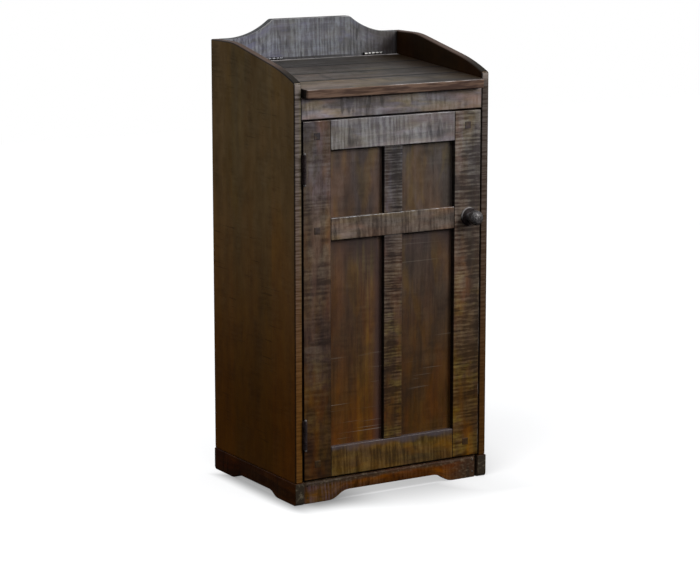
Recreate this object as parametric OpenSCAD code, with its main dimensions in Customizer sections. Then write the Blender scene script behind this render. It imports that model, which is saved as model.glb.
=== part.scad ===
// Trash can cabinet in dark rough-sawn wood: a tall narrow carcass on an arched plinth,
// a frame-and-panel door in front, and a sloping lid that lifts up on hinges at a shaped
// crest board. The can stands inside on the floor panel.
// Millimetres. X runs to the right, Y to the back and Z up. The origin is on the ground
// under the centre of the whole object.

/* [Carcass] */
// Width over the two side panels
carcass_w = 508; // [460:1:600]
// Depth from the front edges of the side panels to the back
carcass_d = 381; // [340:1:440]
// Height of the side panels at the back, above the plinth
side_h = 960; // [880:1:1040]
// Thickness of the side panels
side_t = 19; // [16:0.5:24]
// Level stretch at the back of a side panel's top edge
side_level = 76; // [50:1:110]
// Slope of the side panel's top edge in front of that, in degrees
side_slope = 11.5; // [6:0.5:14]
// Radius of the bend between the level and the sloping stretch
side_bend_r = 250; // [120:5:350]
// Depth of the front stretch where the top edge curves down
side_nose = 105; // [60:1:120]
// Radius of that curve
side_nose_r = 520; // [440:10:800]
// Radius of the side panel's top front corner
side_corner_r = 5; // [2:0.5:12]
// Thickness of the back panel
back_t = 6; // [4:0.5:9]
// Reach of the back panel into the rebates round it
back_lap = 9; // [6:0.5:11]
// Thickness of the floor panel
floor_t = 16; // [12:0.5:22]
// Reach of the floor panel into the side panels
floor_lap = 5; // [3:0.5:8]

/* [Crest board] */
// Thickness of the crest board
crest_t = 21.5; // [18:0.5:26]
// Height of the crest board
crest_h = 135; // [120:1:170]
// Rise of its level top over the side panels
crest_rise = 40; // [25:1:55]
// Length of its level top, before the corners are rounded
crest_top_w = 208; // [150:1:220]
// Radius of the coves beside the top
crest_cove_r = 175; // [120:5:180]
// Radius of the corners between the top and the coves
crest_corner_r = 9; // [4:0.5:16]

/* [Apron] */
// Height of the apron rail's face, under the lid
apron_h = 47; // [36:1:64]
// Thickness of the apron rail
apron_t = 19; // [15:0.5:24]
// Distance of its face behind the front edges of the side panels
apron_setback = 1; // [0:0.5:4]

/* [Plinth] */
// Height of the plinth
plinth_h = 51; // [44:1:70]
// Thickness of the side plinth boards
plinth_t = 23.5; // [22:0.5:26]
// How far the side plinths stand out beyond the side panels
plinth_proud = 1.5; // [0:0.5:2.5]
// How far their front ends stand in front of the side panels
plinth_forward = 2; // [0:0.5:6]
// Thickness of the front and back plinth boards
cross_plinth_t = 19; // [17:0.5:24]
// Setback of the front plinth from the ends of the side plinths
front_plinth_setback = 6; // [4:0.5:8]
// Radius of the front plinth's top and end arrises
plinth_round = 8; // [3:0.5:10]
// Radius of the side plinths' bottom corners
plinth_corner_r = 8; // [3:0.5:12]
// Rise of the arch in the front plinth
front_arch_rise = 19.5; // [12:0.5:26]
// Width of the front plinth's feet
front_foot_w = 64; // [45:1:80]
// Length of the ogee curve at each end of the front arch
front_ogee = 56; // [40:1:70]
// Rise of the arches in the side plinths
side_arch_rise = 12.5; // [8:0.5:20]
// Length of a side plinth's front foot
side_front_foot = 80; // [60:1:95]
// Length of a side plinth's back foot
side_back_foot = 85; // [60:1:95]
// Length of the ogee curve at each end of a side arch
side_ogee = 42; // [30:1:55]
// Length of a corner block's legs
corner_block = 25; // [18:1:34]
// Distance of the corner blocks above the ground
corner_block_lift = 6; // [3:1:12]

/* [Lid] */
// Thickness of the lid boards
lid_t = 20; // [16:0.5:24]
// Fall of the lid towards the front, in degrees
lid_slope = 4.35; // [2:0.05:6]
// Depth of the lid's back edge below the tops of the side panels
lid_drop = 53.7; // [40:0.1:70]
// Overhang of the lid in front of the side panels
lid_overhang = 18; // [8:0.5:28]
// Gap between the lid and each side panel
lid_side_gap = 2; // [1:0.5:4]
// Radius of the lid's front corners in plan
lid_corner_r = 9; // [3:0.5:14]
// Width of the back board of the lid
back_board_w = 102.5; // [80:0.5:120]
// Width of the second board of the lid
second_board_w = 91; // [70:0.5:100]
// Width of the third board of the lid
third_board_w = 82; // [70:0.5:95]
// Depth of the small V groove where two lid boards meet
lid_vee = 1.5; // [0.5:0.5:3]
// Thickness of the tongues that join the lid boards
lid_tongue_t = 6; // [4:0.5:8]
// Length of those tongues
lid_tongue = 6; // [4:0.5:9]
// Width of the battens under the lid
batten_w = 40; // [25:1:60]
// Thickness of the battens
batten_t = 14; // [8:0.5:20]
// Distance of the battens from the back edge of the lid
batten_back = 30; // [24:1:60]
// Distance of the battens behind the apron rail
batten_front = 10; // [4:1:30]
// Distance of the battens from the cleats
batten_side = 5; // [2:0.5:12]
// Width of the cleats that carry the lid
cleat_w = 16; // [10:0.5:24]
// Height of the cleats
cleat_h = 22; // [14:0.5:30]

/* [Door] */
// Thickness of the door frame
door_t = 21; // [19:0.5:22]
// How far the door stands in front of the side panels
door_proud = 1; // [0:0.5:1.5]
// Gap at each side of the door
door_gap_side = 3; // [2.8:0.1:4]
// Gap above the door
door_gap_top = 4; // [2:0.5:6]
// Gap below the door
door_gap_bottom = 5; // [2:0.5:8]
// Width of the stiles
stile_w = 69.5; // [60:0.5:80]
// Height of the top rail
top_rail_h = 66; // [56:0.5:80]
// Height of the middle rail
middle_rail_h = 49.5; // [40:0.5:64]
// Height of the bottom rail
bottom_rail_h = 68; // [56:0.5:90]
// Height of the middle rail's centre above the bottom of the door
middle_rail_lift = 560.5; // [480:0.5:600]
// Width of the muntins between the panels
muntin_w = 48; // [36:0.5:60]
// Distance of the muntins behind the face of the door
muntin_setback = 1.5; // [0:0.5:3]
// Thickness of the door panels
panel_t = 6; // [4:0.5:7]
// Distance of the panels behind the face of the door
panel_recess = 12; // [8:0.5:12.5]
// Depth of the grooves that hold the panels
groove_depth = 9; // [6:0.5:12]
// Length of the rail tenons
tenon_l = 48; // [44:0.5:54]
// Shoulder between a tenon and the nearer end of the stile
haunch = 12; // [10:0.5:16]
// Width of the square pegs through the tenons
peg_w = 16; // [10:0.5:20]
// Depth of the pegs in the door
peg_depth = 18.5; // [14:0.5:18.5]
// How far the pegs stand out of the face
peg_proud = 0.5; // [0.2:0.1:2]

/* [Knob] */
// Distance of the knob from the right edge of the door
knob_inset = 31; // [24:1:44]
// Diameter of the knob's rose
rose_d = 42; // [30:0.5:46]
// Thickness of the rose
rose_t = 5; // [3:0.5:8]
// Diameter of the knob's head
knob_d = 34; // [26:0.5:42]
// Length of the knob's head along its axis
knob_l = 28; // [20:0.5:34]
// Diameter of the neck between the rose and the head
neck_d = 15; // [12:0.5:20]
// Diameter of the neck where it meets the rose
neck_foot_d = 19; // [15:0.5:24]
// Length of the neck
neck_l = 10; // [6:0.5:16]
// Diameter of the bolt that holds the knob
bolt_d = 5; // [4:0.5:6]
// Depth of the bolt in the knob, past the rose
bolt_reach = 16; // [8:0.5:20]
// Diameter of the bolt's head
bolt_head_d = 11; // [8:0.5:14]
// Thickness of the bolt's head
bolt_head_t = 3; // [2:0.5:4]

/* [Magnetic catch] */
// Height of the catch
catch_h = 46; // [30:1:60]
// Width of the catch
catch_w = 15; // [12:0.5:18]
// Depth of the catch
catch_d = 14; // [10:0.5:20]
// Distance of the catch's centre below the top of the door
catch_drop = 45; // [35:1:70]
// Width of its strike plate on the door
strike_w = 16; // [12:0.5:20]
// Height of the strike plate
strike_h = 30; // [20:1:40]
// Thickness of the strike plate
strike_t = 1.2; // [0.8:0.1:2]
// Distance of the strike plate from the right edge of the door
strike_inset = 3; // [1:0.5:6]

/* [Hinges] */
// Length of a door hinge
door_hinge_h = 63.5; // [50:0.5:90]
// Radius of its barrel
door_barrel_r = 3.7; // [3.2:0.1:4.5]
// Radius of its pin
door_pin_r = 1.5; // [1.2:0.1:1.8]
// Thickness of its leaves
door_leaf_t = 1.3; // [1:0.1:1.35]
// Reach of its leaves from the pin's axis
door_leaf_w = 24; // [18:0.5:25]
// Distance of the pin's axis in front of the door's face
door_pin_forward = 4.4; // [4.2:0.1:6]
// Radius of the ball tips of the pin
door_tip_r = 3; // [2.6:0.1:3.5]
// Distance of a ball tip's centre from the end of the barrel
door_tip_lift = 2.1; // [1.5:0.1:2.4]
// Distance of a door hinge's centre from the nearer end of the door
door_hinge_inset = 104; // [60:1:160]
// Length of a lid hinge
lid_hinge_w = 51; // [38:0.5:64]
// Radius of its barrel
lid_barrel_r = 3.2; // [2.8:0.1:4]
// Radius of its pin
lid_pin_r = 1.2; // [1:0.1:1.5]
// Thickness of its leaves
lid_leaf_t = 1.2; // [0.8:0.1:1.4]
// Reach of its leaves from the pin's axis
lid_leaf_w = 21; // [14:0.5:21]
// Gap between its two leaves when the lid is shut
lid_leaf_gap = 0.2; // [0.2:0.1:0.5]
// Height of the pin's axis over the lid's back edge
lid_pin_lift = 3.6; // [3.6:0.1:5]
// Distance of the left lid hinge's centre from the lid's left end
left_lid_hinge_inset = 128.5; // [60:0.5:160]
// Distance of the right lid hinge's centre from the lid's right end
right_lid_hinge_inset = 67.5; // [60:0.5:160]

/* [Clearances] */
// Radial clearance of a hinge pin in the knuckles
running_fit = 0.05; // [0.02:0.01:0.1]
// Gap between two knuckles
knuckle_gap = 0.4; // [0.2:0.05:0.8]
// Gap between a barrel and the wood or leaf beside it
barrel_gap = 0.3; // [0.2:0.05:0.5]
// Clearance of a panel or a tongue on each face in its groove
groove_fit = 0.15; // [0.05:0.05:0.3]
// Room for a panel or a tenon to grow, at its end
end_gap = 1; // [0.5:0.25:2]
// Gap under the lid, over the cleats
lid_rest_gap = 0.25; // [0.1:0.05:0.6]
// Gap between the apron rail and the lid
apron_gap = 1.2; // [0.5:0.1:3]
// Gap between the shut door and the floor panel that stops it
door_stop_gap = 0.4; // [0.2:0.1:1]
// Gap between the strike plate and the catch
catch_gap = 0.3; // [0.2:0.1:1]
// Clearance of the knob's bolt in the door and the rose
bolt_fit = 0.2; // [0.1:0.05:0.5]

/* [Hidden] */
$fn = 64;
// Knuckles in each hinge
KNUCKLES = 5;
// Straight steps in a drawn arc
ARC_STEPS = 10;
// How far a cutter runs past the face that it cuts
CUT = 1;

WOOD = "#4a3526";
PALE_WOOD = "#5d4a3a";
PANEL_WOOD = "#3c2a1e";
BLACK_STEEL = "#1d1b1a";
STEEL = "#a9a8a4";

// Carcass planes. Every piece is drawn from the front edges of the side panels (y = 0)
// and is then moved back or forward so that the whole object stands over its origin.
inner_x = carcass_w / 2 - side_t;
side_top = plinth_h + side_h;
crest_y = carcass_d - crest_t;
back_y = carcass_d - back_t;
crest_z0 = side_top + crest_rise - crest_h;

// Door planes
door_x = inner_x - door_gap_side;
frame_x = door_x - stile_w;
door_y0 = -door_proud;
door_y1 = door_y0 + door_t;
knob_x = door_x - knob_inset;
knob_reach = door_proud + rose_t + neck_l + knob_l;
front_y = (knob_reach - carcass_d) / 2;

// Lid planes: its top falls from the back edge to the front
lid_back_y = crest_y - 2 * lid_leaf_t - lid_leaf_gap;
lid_back_z = side_top - lid_drop;
lid_len = (lid_back_y + lid_overhang) / cos(lid_slope);
lid_x = inner_x - lid_side_gap;
second_u = back_board_w;
third_u = second_u + second_board_w;
fourth_u = third_u + third_board_w;
function lid_under(y) = lid_back_z - (lid_back_y - y) * tan(lid_slope) - lid_t / cos(lid_slope);

// Apron rail and the door's height under it
apron_y1 = apron_setback + apron_t;
apron_z1 = lid_under(apron_setback) - apron_gap;
apron_z0 = apron_z1 - apron_h;
door_z0 = plinth_h + door_gap_bottom;
door_z1 = apron_z0 - door_gap_top;

// Rails from the bottom up: [bottom, top] of each, and of its tenons
middle_z = door_z0 + middle_rail_lift;
rail_z = [
    [door_z0, door_z0 + bottom_rail_h],
    [middle_z - middle_rail_h / 2, middle_z + middle_rail_h / 2],
    [door_z1 - top_rail_h, door_z1]
];
tenon_z = [
    [rail_z[0][0] + haunch, rail_z[0][1] - groove_depth],
    [rail_z[1][0] + groove_depth, rail_z[1][1] - groove_depth],
    [rail_z[2][0] + groove_depth, rail_z[2][1] - haunch]
];
groove_y = [door_y0 + panel_recess - groove_fit, door_y0 + panel_recess + panel_t + groove_fit];
tenon_y = [groove_y[0] + groove_fit, groove_y[1] - groove_fit];
peg_x = door_x - stile_w / 2;

// Plinth planes
plinth_x1 = carcass_w / 2 + plinth_proud;
plinth_x0 = plinth_x1 - plinth_t;
front_plinth_y0 = front_plinth_setback - plinth_forward;
front_plinth_y1 = front_plinth_y0 + cross_plinth_t;
back_plinth_y0 = carcass_d - cross_plinth_t;

// Catch
catch_z = door_z1 - catch_drop;
catch_y0 = door_y1 + strike_t + catch_gap;

// Hinges: where their axes and centres are, and where the plates lie beside the barrels
door_axis_x = -inner_x + door_barrel_r + barrel_gap;
door_axis_y = door_y0 - door_pin_forward;
upper_hinge_z = door_z1 - door_hinge_inset;
lower_hinge_z = door_z0 + door_hinge_inset;
lid_axis_y = crest_y - lid_barrel_r - barrel_gap;
lid_axis_z = lid_back_z + lid_pin_lift;
left_hinge_x = left_lid_hinge_inset - lid_x;
right_hinge_x = lid_x - right_lid_hinge_inset;
function fixed_plate(barrel_r, leaf_t) = [-barrel_r - barrel_gap, leaf_t - barrel_r - barrel_gap];
function moving_plate(barrel_r, leaf_t, gap) =
    [leaf_t + gap - barrel_r - barrel_gap, 2 * leaf_t + gap - barrel_r - barrel_gap];
door_fixed_x = fixed_plate(door_barrel_r, door_leaf_t);
door_moving_x = moving_plate(door_barrel_r, door_leaf_t, door_gap_side - 2 * door_leaf_t);
lid_fixed_x = fixed_plate(lid_barrel_r, lid_leaf_t);
lid_moving_x = moving_plate(lid_barrel_r, lid_leaf_t, lid_leaf_gap);

// Points on an arc round (cx, cy), from angle a0 to angle a1
function arc(cx, cy, r, a0, a1) =
    [for (i = [0:ARC_STEPS]) let(a = a0 + (a1 - a0) * i / ARC_STEPS) [cx + r * cos(a), cy + r * sin(a)]];

// Points on an ogee from (x0, 0) to (x1, rise): two equal arcs, level at both ends
function ogee(x0, x1, rise) =
    let(
        run = abs(x1 - x0),
        way = sign(x1 - x0),
        r = (run * run + rise * rise) / (4 * rise),
        turn = asin(run / (2 * r)),
        step = turn / ARC_STEPS
    )
    concat(
        [for (i = [0:ARC_STEPS]) [x0 + way * r * sin(i * step), r - r * cos(i * step)]],
        [for (i = [ARC_STEPS - 1:-1:0]) [x1 - way * r * sin(i * step), rise - r + r * cos(i * step)]]
    );

function reversed(points) = [for (i = [len(points) - 1:-1:0]) points[i]];

// Moves a piece that is drawn from the front edges of the side panels to its place
module placed() {
    translate([0, front_y, 0])
        children();
}

// Box between two limits along each axis
module box(x, y, z) {
    translate([x[0], y[0], z[0]])
        cube([x[1] - x[0], y[1] - y[0], z[1] - z[0]]);
}

// Extrudes an outline drawn in the YZ plane from x0 to x1
module along_x(x0, x1) {
    translate([x0, 0, 0])
        rotate([90, 0, 90])
            linear_extrude(x1 - x0)
                children();
}

// Extrudes an outline drawn in the XZ plane from y0 to y1
module along_y(y0, y1) {
    translate([0, y1, 0])
        rotate([90, 0, 0])
            linear_extrude(y1 - y0)
                children();
}

// Carcass

// Outline of a side panel: level at the back, a bend, a straight slope and a curved nose
module side_outline() {
    bend_y = carcass_d - side_level;
    bend_end_y = bend_y - side_bend_r * sin(side_slope);
    bend_end_z = side_top - side_bend_r * (1 - cos(side_slope));
    nose_z = bend_end_z - (bend_end_y - side_nose) * tan(side_slope);
    centre_y = side_nose + side_nose_r * sin(side_slope);
    centre_z = nose_z - side_nose_r * cos(side_slope);
    corner_z = centre_z + sqrt(pow(side_nose_r - side_corner_r, 2) - pow(centre_y - side_corner_r, 2));
    corner_angle = atan2(corner_z - centre_z, side_corner_r - centre_y);
    polygon(concat(
        [[0, plinth_h], [carcass_d, plinth_h], [carcass_d, side_top]],
        arc(bend_y, side_top - side_bend_r, side_bend_r, 90, 90 + side_slope),
        arc(centre_y, centre_z, side_nose_r, 90 + side_slope, corner_angle),
        arc(side_corner_r, corner_z, side_corner_r, corner_angle, 180)
    ));
}

// Right side panel, with its rebates for the back panel and the floor panel
module side_panel() {
    difference() {
        along_x(inner_x, inner_x + side_t)
            side_outline();
        box([inner_x - CUT, inner_x + back_lap + end_gap], [back_y, carcass_d + CUT],
            [plinth_h - CUT, crest_z0 + back_lap + end_gap]);
        box([inner_x - CUT, inner_x + floor_lap], [door_y1, carcass_d + CUT],
            [plinth_h - CUT, plinth_h + floor_t]);
    }
}

module left_side_panel() {
    color(WOOD)
        placed()
            mirror([1, 0, 0])
                side_panel();
}

module right_side_panel() {
    color(WOOD)
        placed()
            side_panel();
}

module back_panel() {
    color(PANEL_WOOD)
        placed()
            box([-inner_x - back_lap, inner_x + back_lap], [back_y, carcass_d],
                [plinth_h, crest_z0 + back_lap]);
}

// Floor panel: its front edge also stops the door
module floor_panel() {
    color(WOOD)
        placed()
            box([-inner_x - floor_lap, inner_x + floor_lap], [door_y1 + door_stop_gap, back_y],
                [plinth_h, plinth_h + floor_t]);
}

// Right half of the crest board's outline: shoulder, cove, rounded corner, level top
function crest_half() =
    let(
        cove_x = crest_top_w / 2 + sqrt(2 * crest_cove_r * crest_rise - crest_rise * crest_rise),
        drop = crest_cove_r - crest_rise + crest_corner_r,
        lean = asin(drop / (crest_cove_r + crest_corner_r)),
        corner_x = cove_x - (crest_cove_r + crest_corner_r) * cos(lean)
    )
    concat(
        [[inner_x, crest_z0], [inner_x, side_top]],
        arc(cove_x, side_top + crest_cove_r, crest_cove_r, 270, 180 + lean),
        arc(corner_x, side_top + crest_rise - crest_corner_r, crest_corner_r, lean, 90)
    );

module crest_board() {
    half = crest_half();
    other_half = [for (point = reversed(half)) [-point[0], point[1]]];
    color(PALE_WOOD)
        placed()
            difference() {
                along_y(crest_y, carcass_d)
                    polygon(concat(half, other_half));
                box([-inner_x - CUT, inner_x + CUT], [back_y, carcass_d + CUT],
                    [crest_z0 - CUT, crest_z0 + back_lap + end_gap]);
            }
}

// Apron rail: its top is planed to the slope of the lid over it
module apron_rail() {
    color(PALE_WOOD)
        placed()
            along_x(-inner_x, inner_x)
                polygon([
                    [apron_setback, apron_z0],
                    [apron_y1, apron_z0],
                    [apron_y1, apron_z1 + apron_t * tan(lid_slope)],
                    [apron_setback, apron_z1]
                ]);
}

// Cleat that carries the right end of the lid
module lid_cleat() {
    front_z = lid_under(apron_y1) - lid_rest_gap;
    back_z = lid_under(crest_y) - lid_rest_gap;
    along_x(inner_x - cleat_w, inner_x)
        polygon([
            [apron_y1, front_z - cleat_h],
            [crest_y, back_z - cleat_h],
            [crest_y, back_z],
            [apron_y1, front_z]
        ]);
}

module left_lid_cleat() {
    color(WOOD)
        placed()
            mirror([1, 0, 0])
                lid_cleat();
}

module right_lid_cleat() {
    color(WOOD)
        placed()
            lid_cleat();
}

// Plinth

// Right side plinth: two feet with rounded corners, and an arch between them
module side_plinth() {
    y0 = -plinth_forward;
    front_foot_y = y0 + side_front_foot;
    back_foot_y = carcass_d - side_back_foot;
    r = plinth_corner_r;
    along_x(plinth_x0, plinth_x1)
        polygon(concat(
            arc(y0 + r, r, r, 180, 270),
            ogee(front_foot_y, front_foot_y + side_ogee, side_arch_rise),
            reversed(ogee(back_foot_y, back_foot_y - side_ogee, side_arch_rise)),
            arc(carcass_d - r, r, r, 270, 360),
            [[carcass_d, plinth_h], [y0, plinth_h]]
        ));
}

module left_plinth() {
    color(WOOD)
        placed()
            mirror([1, 0, 0])
                side_plinth();
}

module right_plinth() {
    color(WOOD)
        placed()
            side_plinth();
}

// Front plinth between the side plinths, with its top and end arrises rounded
module front_plinth() {
    foot_x = plinth_x0 - front_foot_w;
    r = plinth_round;
    color(PALE_WOOD)
        placed()
            intersection() {
                along_x(-plinth_x0, plinth_x0)
                    polygon(concat(
                        [[front_plinth_y1, 0], [front_plinth_y1, plinth_h]],
                        arc(front_plinth_y0 + r, plinth_h - r, r, 90, 180),
                        [[front_plinth_y0, 0]]
                    ));
                linear_extrude(plinth_h)
                    polygon(concat(
                        [[plinth_x0, front_plinth_y1], [-plinth_x0, front_plinth_y1]],
                        arc(r - plinth_x0, front_plinth_y0 + r, r, 180, 270),
                        arc(plinth_x0 - r, front_plinth_y0 + r, r, 270, 360)
                    ));
                along_y(front_plinth_y0, front_plinth_y1)
                    polygon(concat(
                        [[plinth_x0, 0], [plinth_x0, plinth_h], [-plinth_x0, plinth_h], [-plinth_x0, 0]],
                        ogee(-foot_x, front_ogee - foot_x, front_arch_rise),
                        reversed(ogee(foot_x, foot_x - front_ogee, front_arch_rise))
                    ));
            }
}

module back_plinth() {
    color(WOOD)
        placed()
            box([-plinth_x0, plinth_x0], [back_plinth_y0, carcass_d], [0, plinth_h]);
}

// Three-cornered glue block in a corner of the plinth: way_x and way_y point into the room
module corner_glue_block(x, y, way_x, way_y) {
    color(WOOD)
        placed()
            translate([x, y, corner_block_lift])
                linear_extrude(plinth_h - corner_block_lift)
                    polygon([[0, 0], [way_x * corner_block, 0], [0, way_y * corner_block]]);
}

module front_left_block() {
    corner_glue_block(-plinth_x0, front_plinth_y1, 1, 1);
}

module front_right_block() {
    corner_glue_block(plinth_x0, front_plinth_y1, -1, 1);
}

module back_left_block() {
    corner_glue_block(-plinth_x0, back_plinth_y0, 1, -1);
}

module back_right_block() {
    corner_glue_block(plinth_x0, back_plinth_y0, -1, -1);
}

// Lid

// Places what is drawn from the lid's back top edge: -Y runs down the slope, Z is its normal
module on_lid() {
    translate([0, lid_back_y, lid_back_z])
        rotate([lid_slope, 0, 0])
            children();
}

// Lid board from near_u to far_u down the slope. The back one has an upright back edge,
// the others a groove there. The front one has rounded corners, the others a tongue.
module lid_board(near_u, far_u) {
    is_back = near_u == 0;
    is_front = far_u == lid_len;
    lean = is_back ? lid_t * tan(lid_slope) : 0;
    near_top = is_back ? [[0, 0]] : [[-near_u - lid_vee, 0], [-near_u, -lid_vee]];
    far_top = is_front ? [[-far_u, 0]] : [[-far_u, -lid_vee], [lid_vee - far_u, 0]];
    tongue_z = [-(lid_t + lid_tongue_t) / 2, -(lid_t - lid_tongue_t) / 2];
    groove_z = [tongue_z[0] - groove_fit, tongue_z[1] + groove_fit];
    color(PALE_WOOD)
        placed()
            on_lid()
                difference() {
                    union() {
                        along_x(-lid_x, lid_x)
                            polygon(concat(
                                near_top,
                                [[-near_u - lean, -lid_t], [-far_u, -lid_t]],
                                far_top
                            ));
                        if (!is_front)
                            box([-lid_x, lid_x], [-far_u - lid_tongue, -far_u], tongue_z);
                    }
                    if (!is_back)
                        box([-lid_x - CUT, lid_x + CUT],
                            [-near_u - lid_tongue - groove_fit, CUT - near_u], groove_z);
                    if (is_front)
                        for (way = [0, 1])
                            mirror([way, 0, 0])
                                lid_corner_cut();
                }
}

// Waste outside the rounded right front corner of the lid
module lid_corner_cut() {
    r = lid_corner_r;
    difference() {
        box([lid_x - r, lid_x + CUT], [-lid_len - CUT, -lid_len + r], [-lid_t - CUT, CUT]);
        translate([lid_x - r, -lid_len + r, -lid_t - 2 * CUT])
            cylinder(r = r, h = lid_t + 4 * CUT);
    }
}

module back_lid_board() {
    lid_board(0, second_u);
}

module second_lid_board() {
    lid_board(second_u, third_u);
}

module third_lid_board() {
    lid_board(third_u, fourth_u);
}

module front_lid_board() {
    lid_board(fourth_u, lid_len);
}

// Right batten across the underside of the lid boards
module lid_batten() {
    x1 = inner_x - cleat_w - batten_side;
    front_end = (lid_back_y - apron_y1 - batten_front) / cos(lid_slope);
    on_lid()
        box([x1 - batten_w, x1], [-front_end, -batten_back], [-lid_t - batten_t, -lid_t]);
}

module left_lid_batten() {
    color(WOOD)
        placed()
            mirror([1, 0, 0])
                lid_batten();
}

module right_lid_batten() {
    color(WOOD)
        placed()
            lid_batten();
}

// Door

// Square peg hole, or the peg itself, at the crossing of a stile and a rail
module peg_shape(x, rail, y0) {
    z = (rail_z[rail][0] + rail_z[rail][1]) / 2;
    box([x - peg_w / 2, x + peg_w / 2], [y0, door_y0 + peg_depth], [z - peg_w / 2, z + peg_w / 2]);
}

// The five peg places, as [x, rail]: the knob's bolt takes the sixth
PEGS = [[-peg_x, 2], [-peg_x, 1], [-peg_x, 0], [peg_x, 2], [peg_x, 0]];

module peg_holes() {
    for (peg = PEGS)
        peg_shape(peg[0], peg[1], door_y0 - CUT);
}

module knob_bolt_hole(y0, y1, r) {
    translate([knob_x, y1, middle_z])
        rotate([90, 0, 0])
            cylinder(r = r, h = y1 - y0);
}

// Stile seen from the right side of the door: groove, three mortises and the holes.
// way is 1 for the right stile and -1 for the left one.
module stile(way) {
    inner_edge = way * frame_x;
    outer_edge = way * door_x;
    color(WOOD)
        placed()
            difference() {
                box([min(inner_edge, outer_edge), max(inner_edge, outer_edge)],
                    [door_y0, door_y1], [door_z0, door_z1]);
                stile_slot(way, groove_depth, [door_z0 + haunch, door_z1 - haunch]);
                for (z = tenon_z)
                    stile_slot(way, tenon_l + end_gap, z);
                peg_holes();
                knob_bolt_hole(door_y0 - CUT, door_y1 + CUT, bolt_d / 2 + bolt_fit);
            }
}

// Slot of the panel groove's width, cut into a stile's inner edge
module stile_slot(way, depth, z) {
    near = way * (frame_x - CUT);
    far = way * (frame_x + depth);
    box([min(near, far), max(near, far)], groove_y, z);
}

module left_stile() {
    stile(-1);
}

module right_stile() {
    stile(1);
}

// Rail with a tenon at each end and a groove in each edge that holds panels
module rail(index) {
    z = rail_z[index];
    color(PALE_WOOD)
        placed()
            difference() {
                union() {
                    box([-frame_x, frame_x], [door_y0, door_y1], z);
                    box([-frame_x - tenon_l, frame_x + tenon_l], tenon_y, tenon_z[index]);
                }
                if (index > 0)
                    box([-frame_x - CUT, frame_x + CUT], groove_y, [z[0] - CUT, z[0] + groove_depth]);
                if (index < 2)
                    box([-frame_x - CUT, frame_x + CUT], groove_y, [z[1] - groove_depth, z[1] + CUT]);
                peg_holes();
                knob_bolt_hole(door_y0 - CUT, door_y1 + CUT, bolt_d / 2 + bolt_fit);
            }
}

module top_rail() {
    rail(2);
}

module middle_rail() {
    rail(1);
}

module bottom_rail() {
    rail(0);
}

// Upright muntin between the rails under and over it, with stub tenons in their grooves
module muntin(lower) {
    z0 = rail_z[lower][1];
    z1 = rail_z[lower + 1][0];
    half = muntin_w / 2;
    stub = groove_depth - groove_fit;
    color(PALE_WOOD)
        placed()
            difference() {
                union() {
                    box([-half, half], [door_y0 + muntin_setback, door_y1], [z0, z1]);
                    box([groove_depth - half, half - groove_depth], tenon_y, [z0 - stub, z1 + stub]);
                }
                for (edge = [[-half - CUT, groove_depth - half], [half - groove_depth, half + CUT]])
                    box(edge, groove_y, [z0 - CUT, z1 + CUT]);
            }
}

module upper_muntin() {
    muntin(1);
}

module lower_muntin() {
    muntin(0);
}

// Flat door panel, loose in the grooves round it
module door_panel(way, lower) {
    grip = groove_depth - end_gap;
    near = way * (muntin_w / 2 - grip);
    far = way * (frame_x + grip);
    color(PANEL_WOOD)
        placed()
            box([min(near, far), max(near, far)],
                [door_y0 + panel_recess, door_y0 + panel_recess + panel_t],
                [rail_z[lower][1] - grip, rail_z[lower + 1][0] + grip]);
}

module upper_left_panel() {
    door_panel(-1, 1);
}

module upper_right_panel() {
    door_panel(1, 1);
}

module lower_left_panel() {
    door_panel(-1, 0);
}

module lower_right_panel() {
    door_panel(1, 0);
}

module peg(index) {
    color(PANEL_WOOD)
        placed()
            peg_shape(PEGS[index][0], PEGS[index][1], door_y0 - peg_proud);
}

module top_left_peg() {
    peg(0);
}

module middle_left_peg() {
    peg(1);
}

module bottom_left_peg() {
    peg(2);
}

module top_right_peg() {
    peg(3);
}

module bottom_right_peg() {
    peg(4);
}

// Knob

// Turns what is drawn along +Z so that it stands out of the door's face
module on_knob_axis() {
    translate([knob_x, door_y0, middle_z])
        rotate([90, 0, 0])
            children();
}

// Rose: a turned disc with a rounded rim
module knob_rose() {
    color(BLACK_STEEL)
        placed()
            on_knob_axis()
                difference() {
                    rotate_extrude()
                        polygon(concat(
                            [[0, 0], [rose_d / 2, 0]],
                            arc(rose_d / 2 - rose_t / 2, rose_t / 2, rose_t / 2, 0, 90),
                            [[0, rose_t]]
                        ));
                    translate([0, 0, -CUT])
                        cylinder(d = bolt_d + 2 * bolt_fit, h = rose_t + 2 * CUT);
                }
}

// Knob: a round head on a neck that flares out to the rose and to the head
module knob() {
    head_z = rose_t + neck_l + knob_l / 2;
    lean = asin(neck_d / knob_d);
    start = lean - 90;
    color(BLACK_STEEL)
        placed()
            on_knob_axis()
                difference() {
                    rotate_extrude()
                        polygon(concat(
                            [[0, rose_t], [neck_foot_d / 2, rose_t], [neck_d / 2, rose_t + neck_l / 2]],
                            [for (i = [0:2 * ARC_STEPS])
                                let(a = start + (90 - start) * i / (2 * ARC_STEPS))
                                    [knob_d / 2 * cos(a), head_z + knob_l / 2 * sin(a)]]
                        ));
                    cylinder(d = bolt_d, h = rose_t + bolt_reach);
                }
}

// Bolt from the inside of the door into the knob
module knob_bolt() {
    color(STEEL)
        placed()
            union() {
                knob_bolt_hole(door_y0 - rose_t - bolt_reach, door_y1 + bolt_head_t / 2, bolt_d / 2);
                knob_bolt_hole(door_y1, door_y1 + bolt_head_t, bolt_head_d / 2);
            }
}

// Magnetic catch

module catch_magnet() {
    color(BLACK_STEEL)
        placed()
            box([inner_x - catch_w, inner_x], [catch_y0, catch_y0 + catch_d],
                [catch_z - catch_h / 2, catch_z + catch_h / 2]);
}

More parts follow.
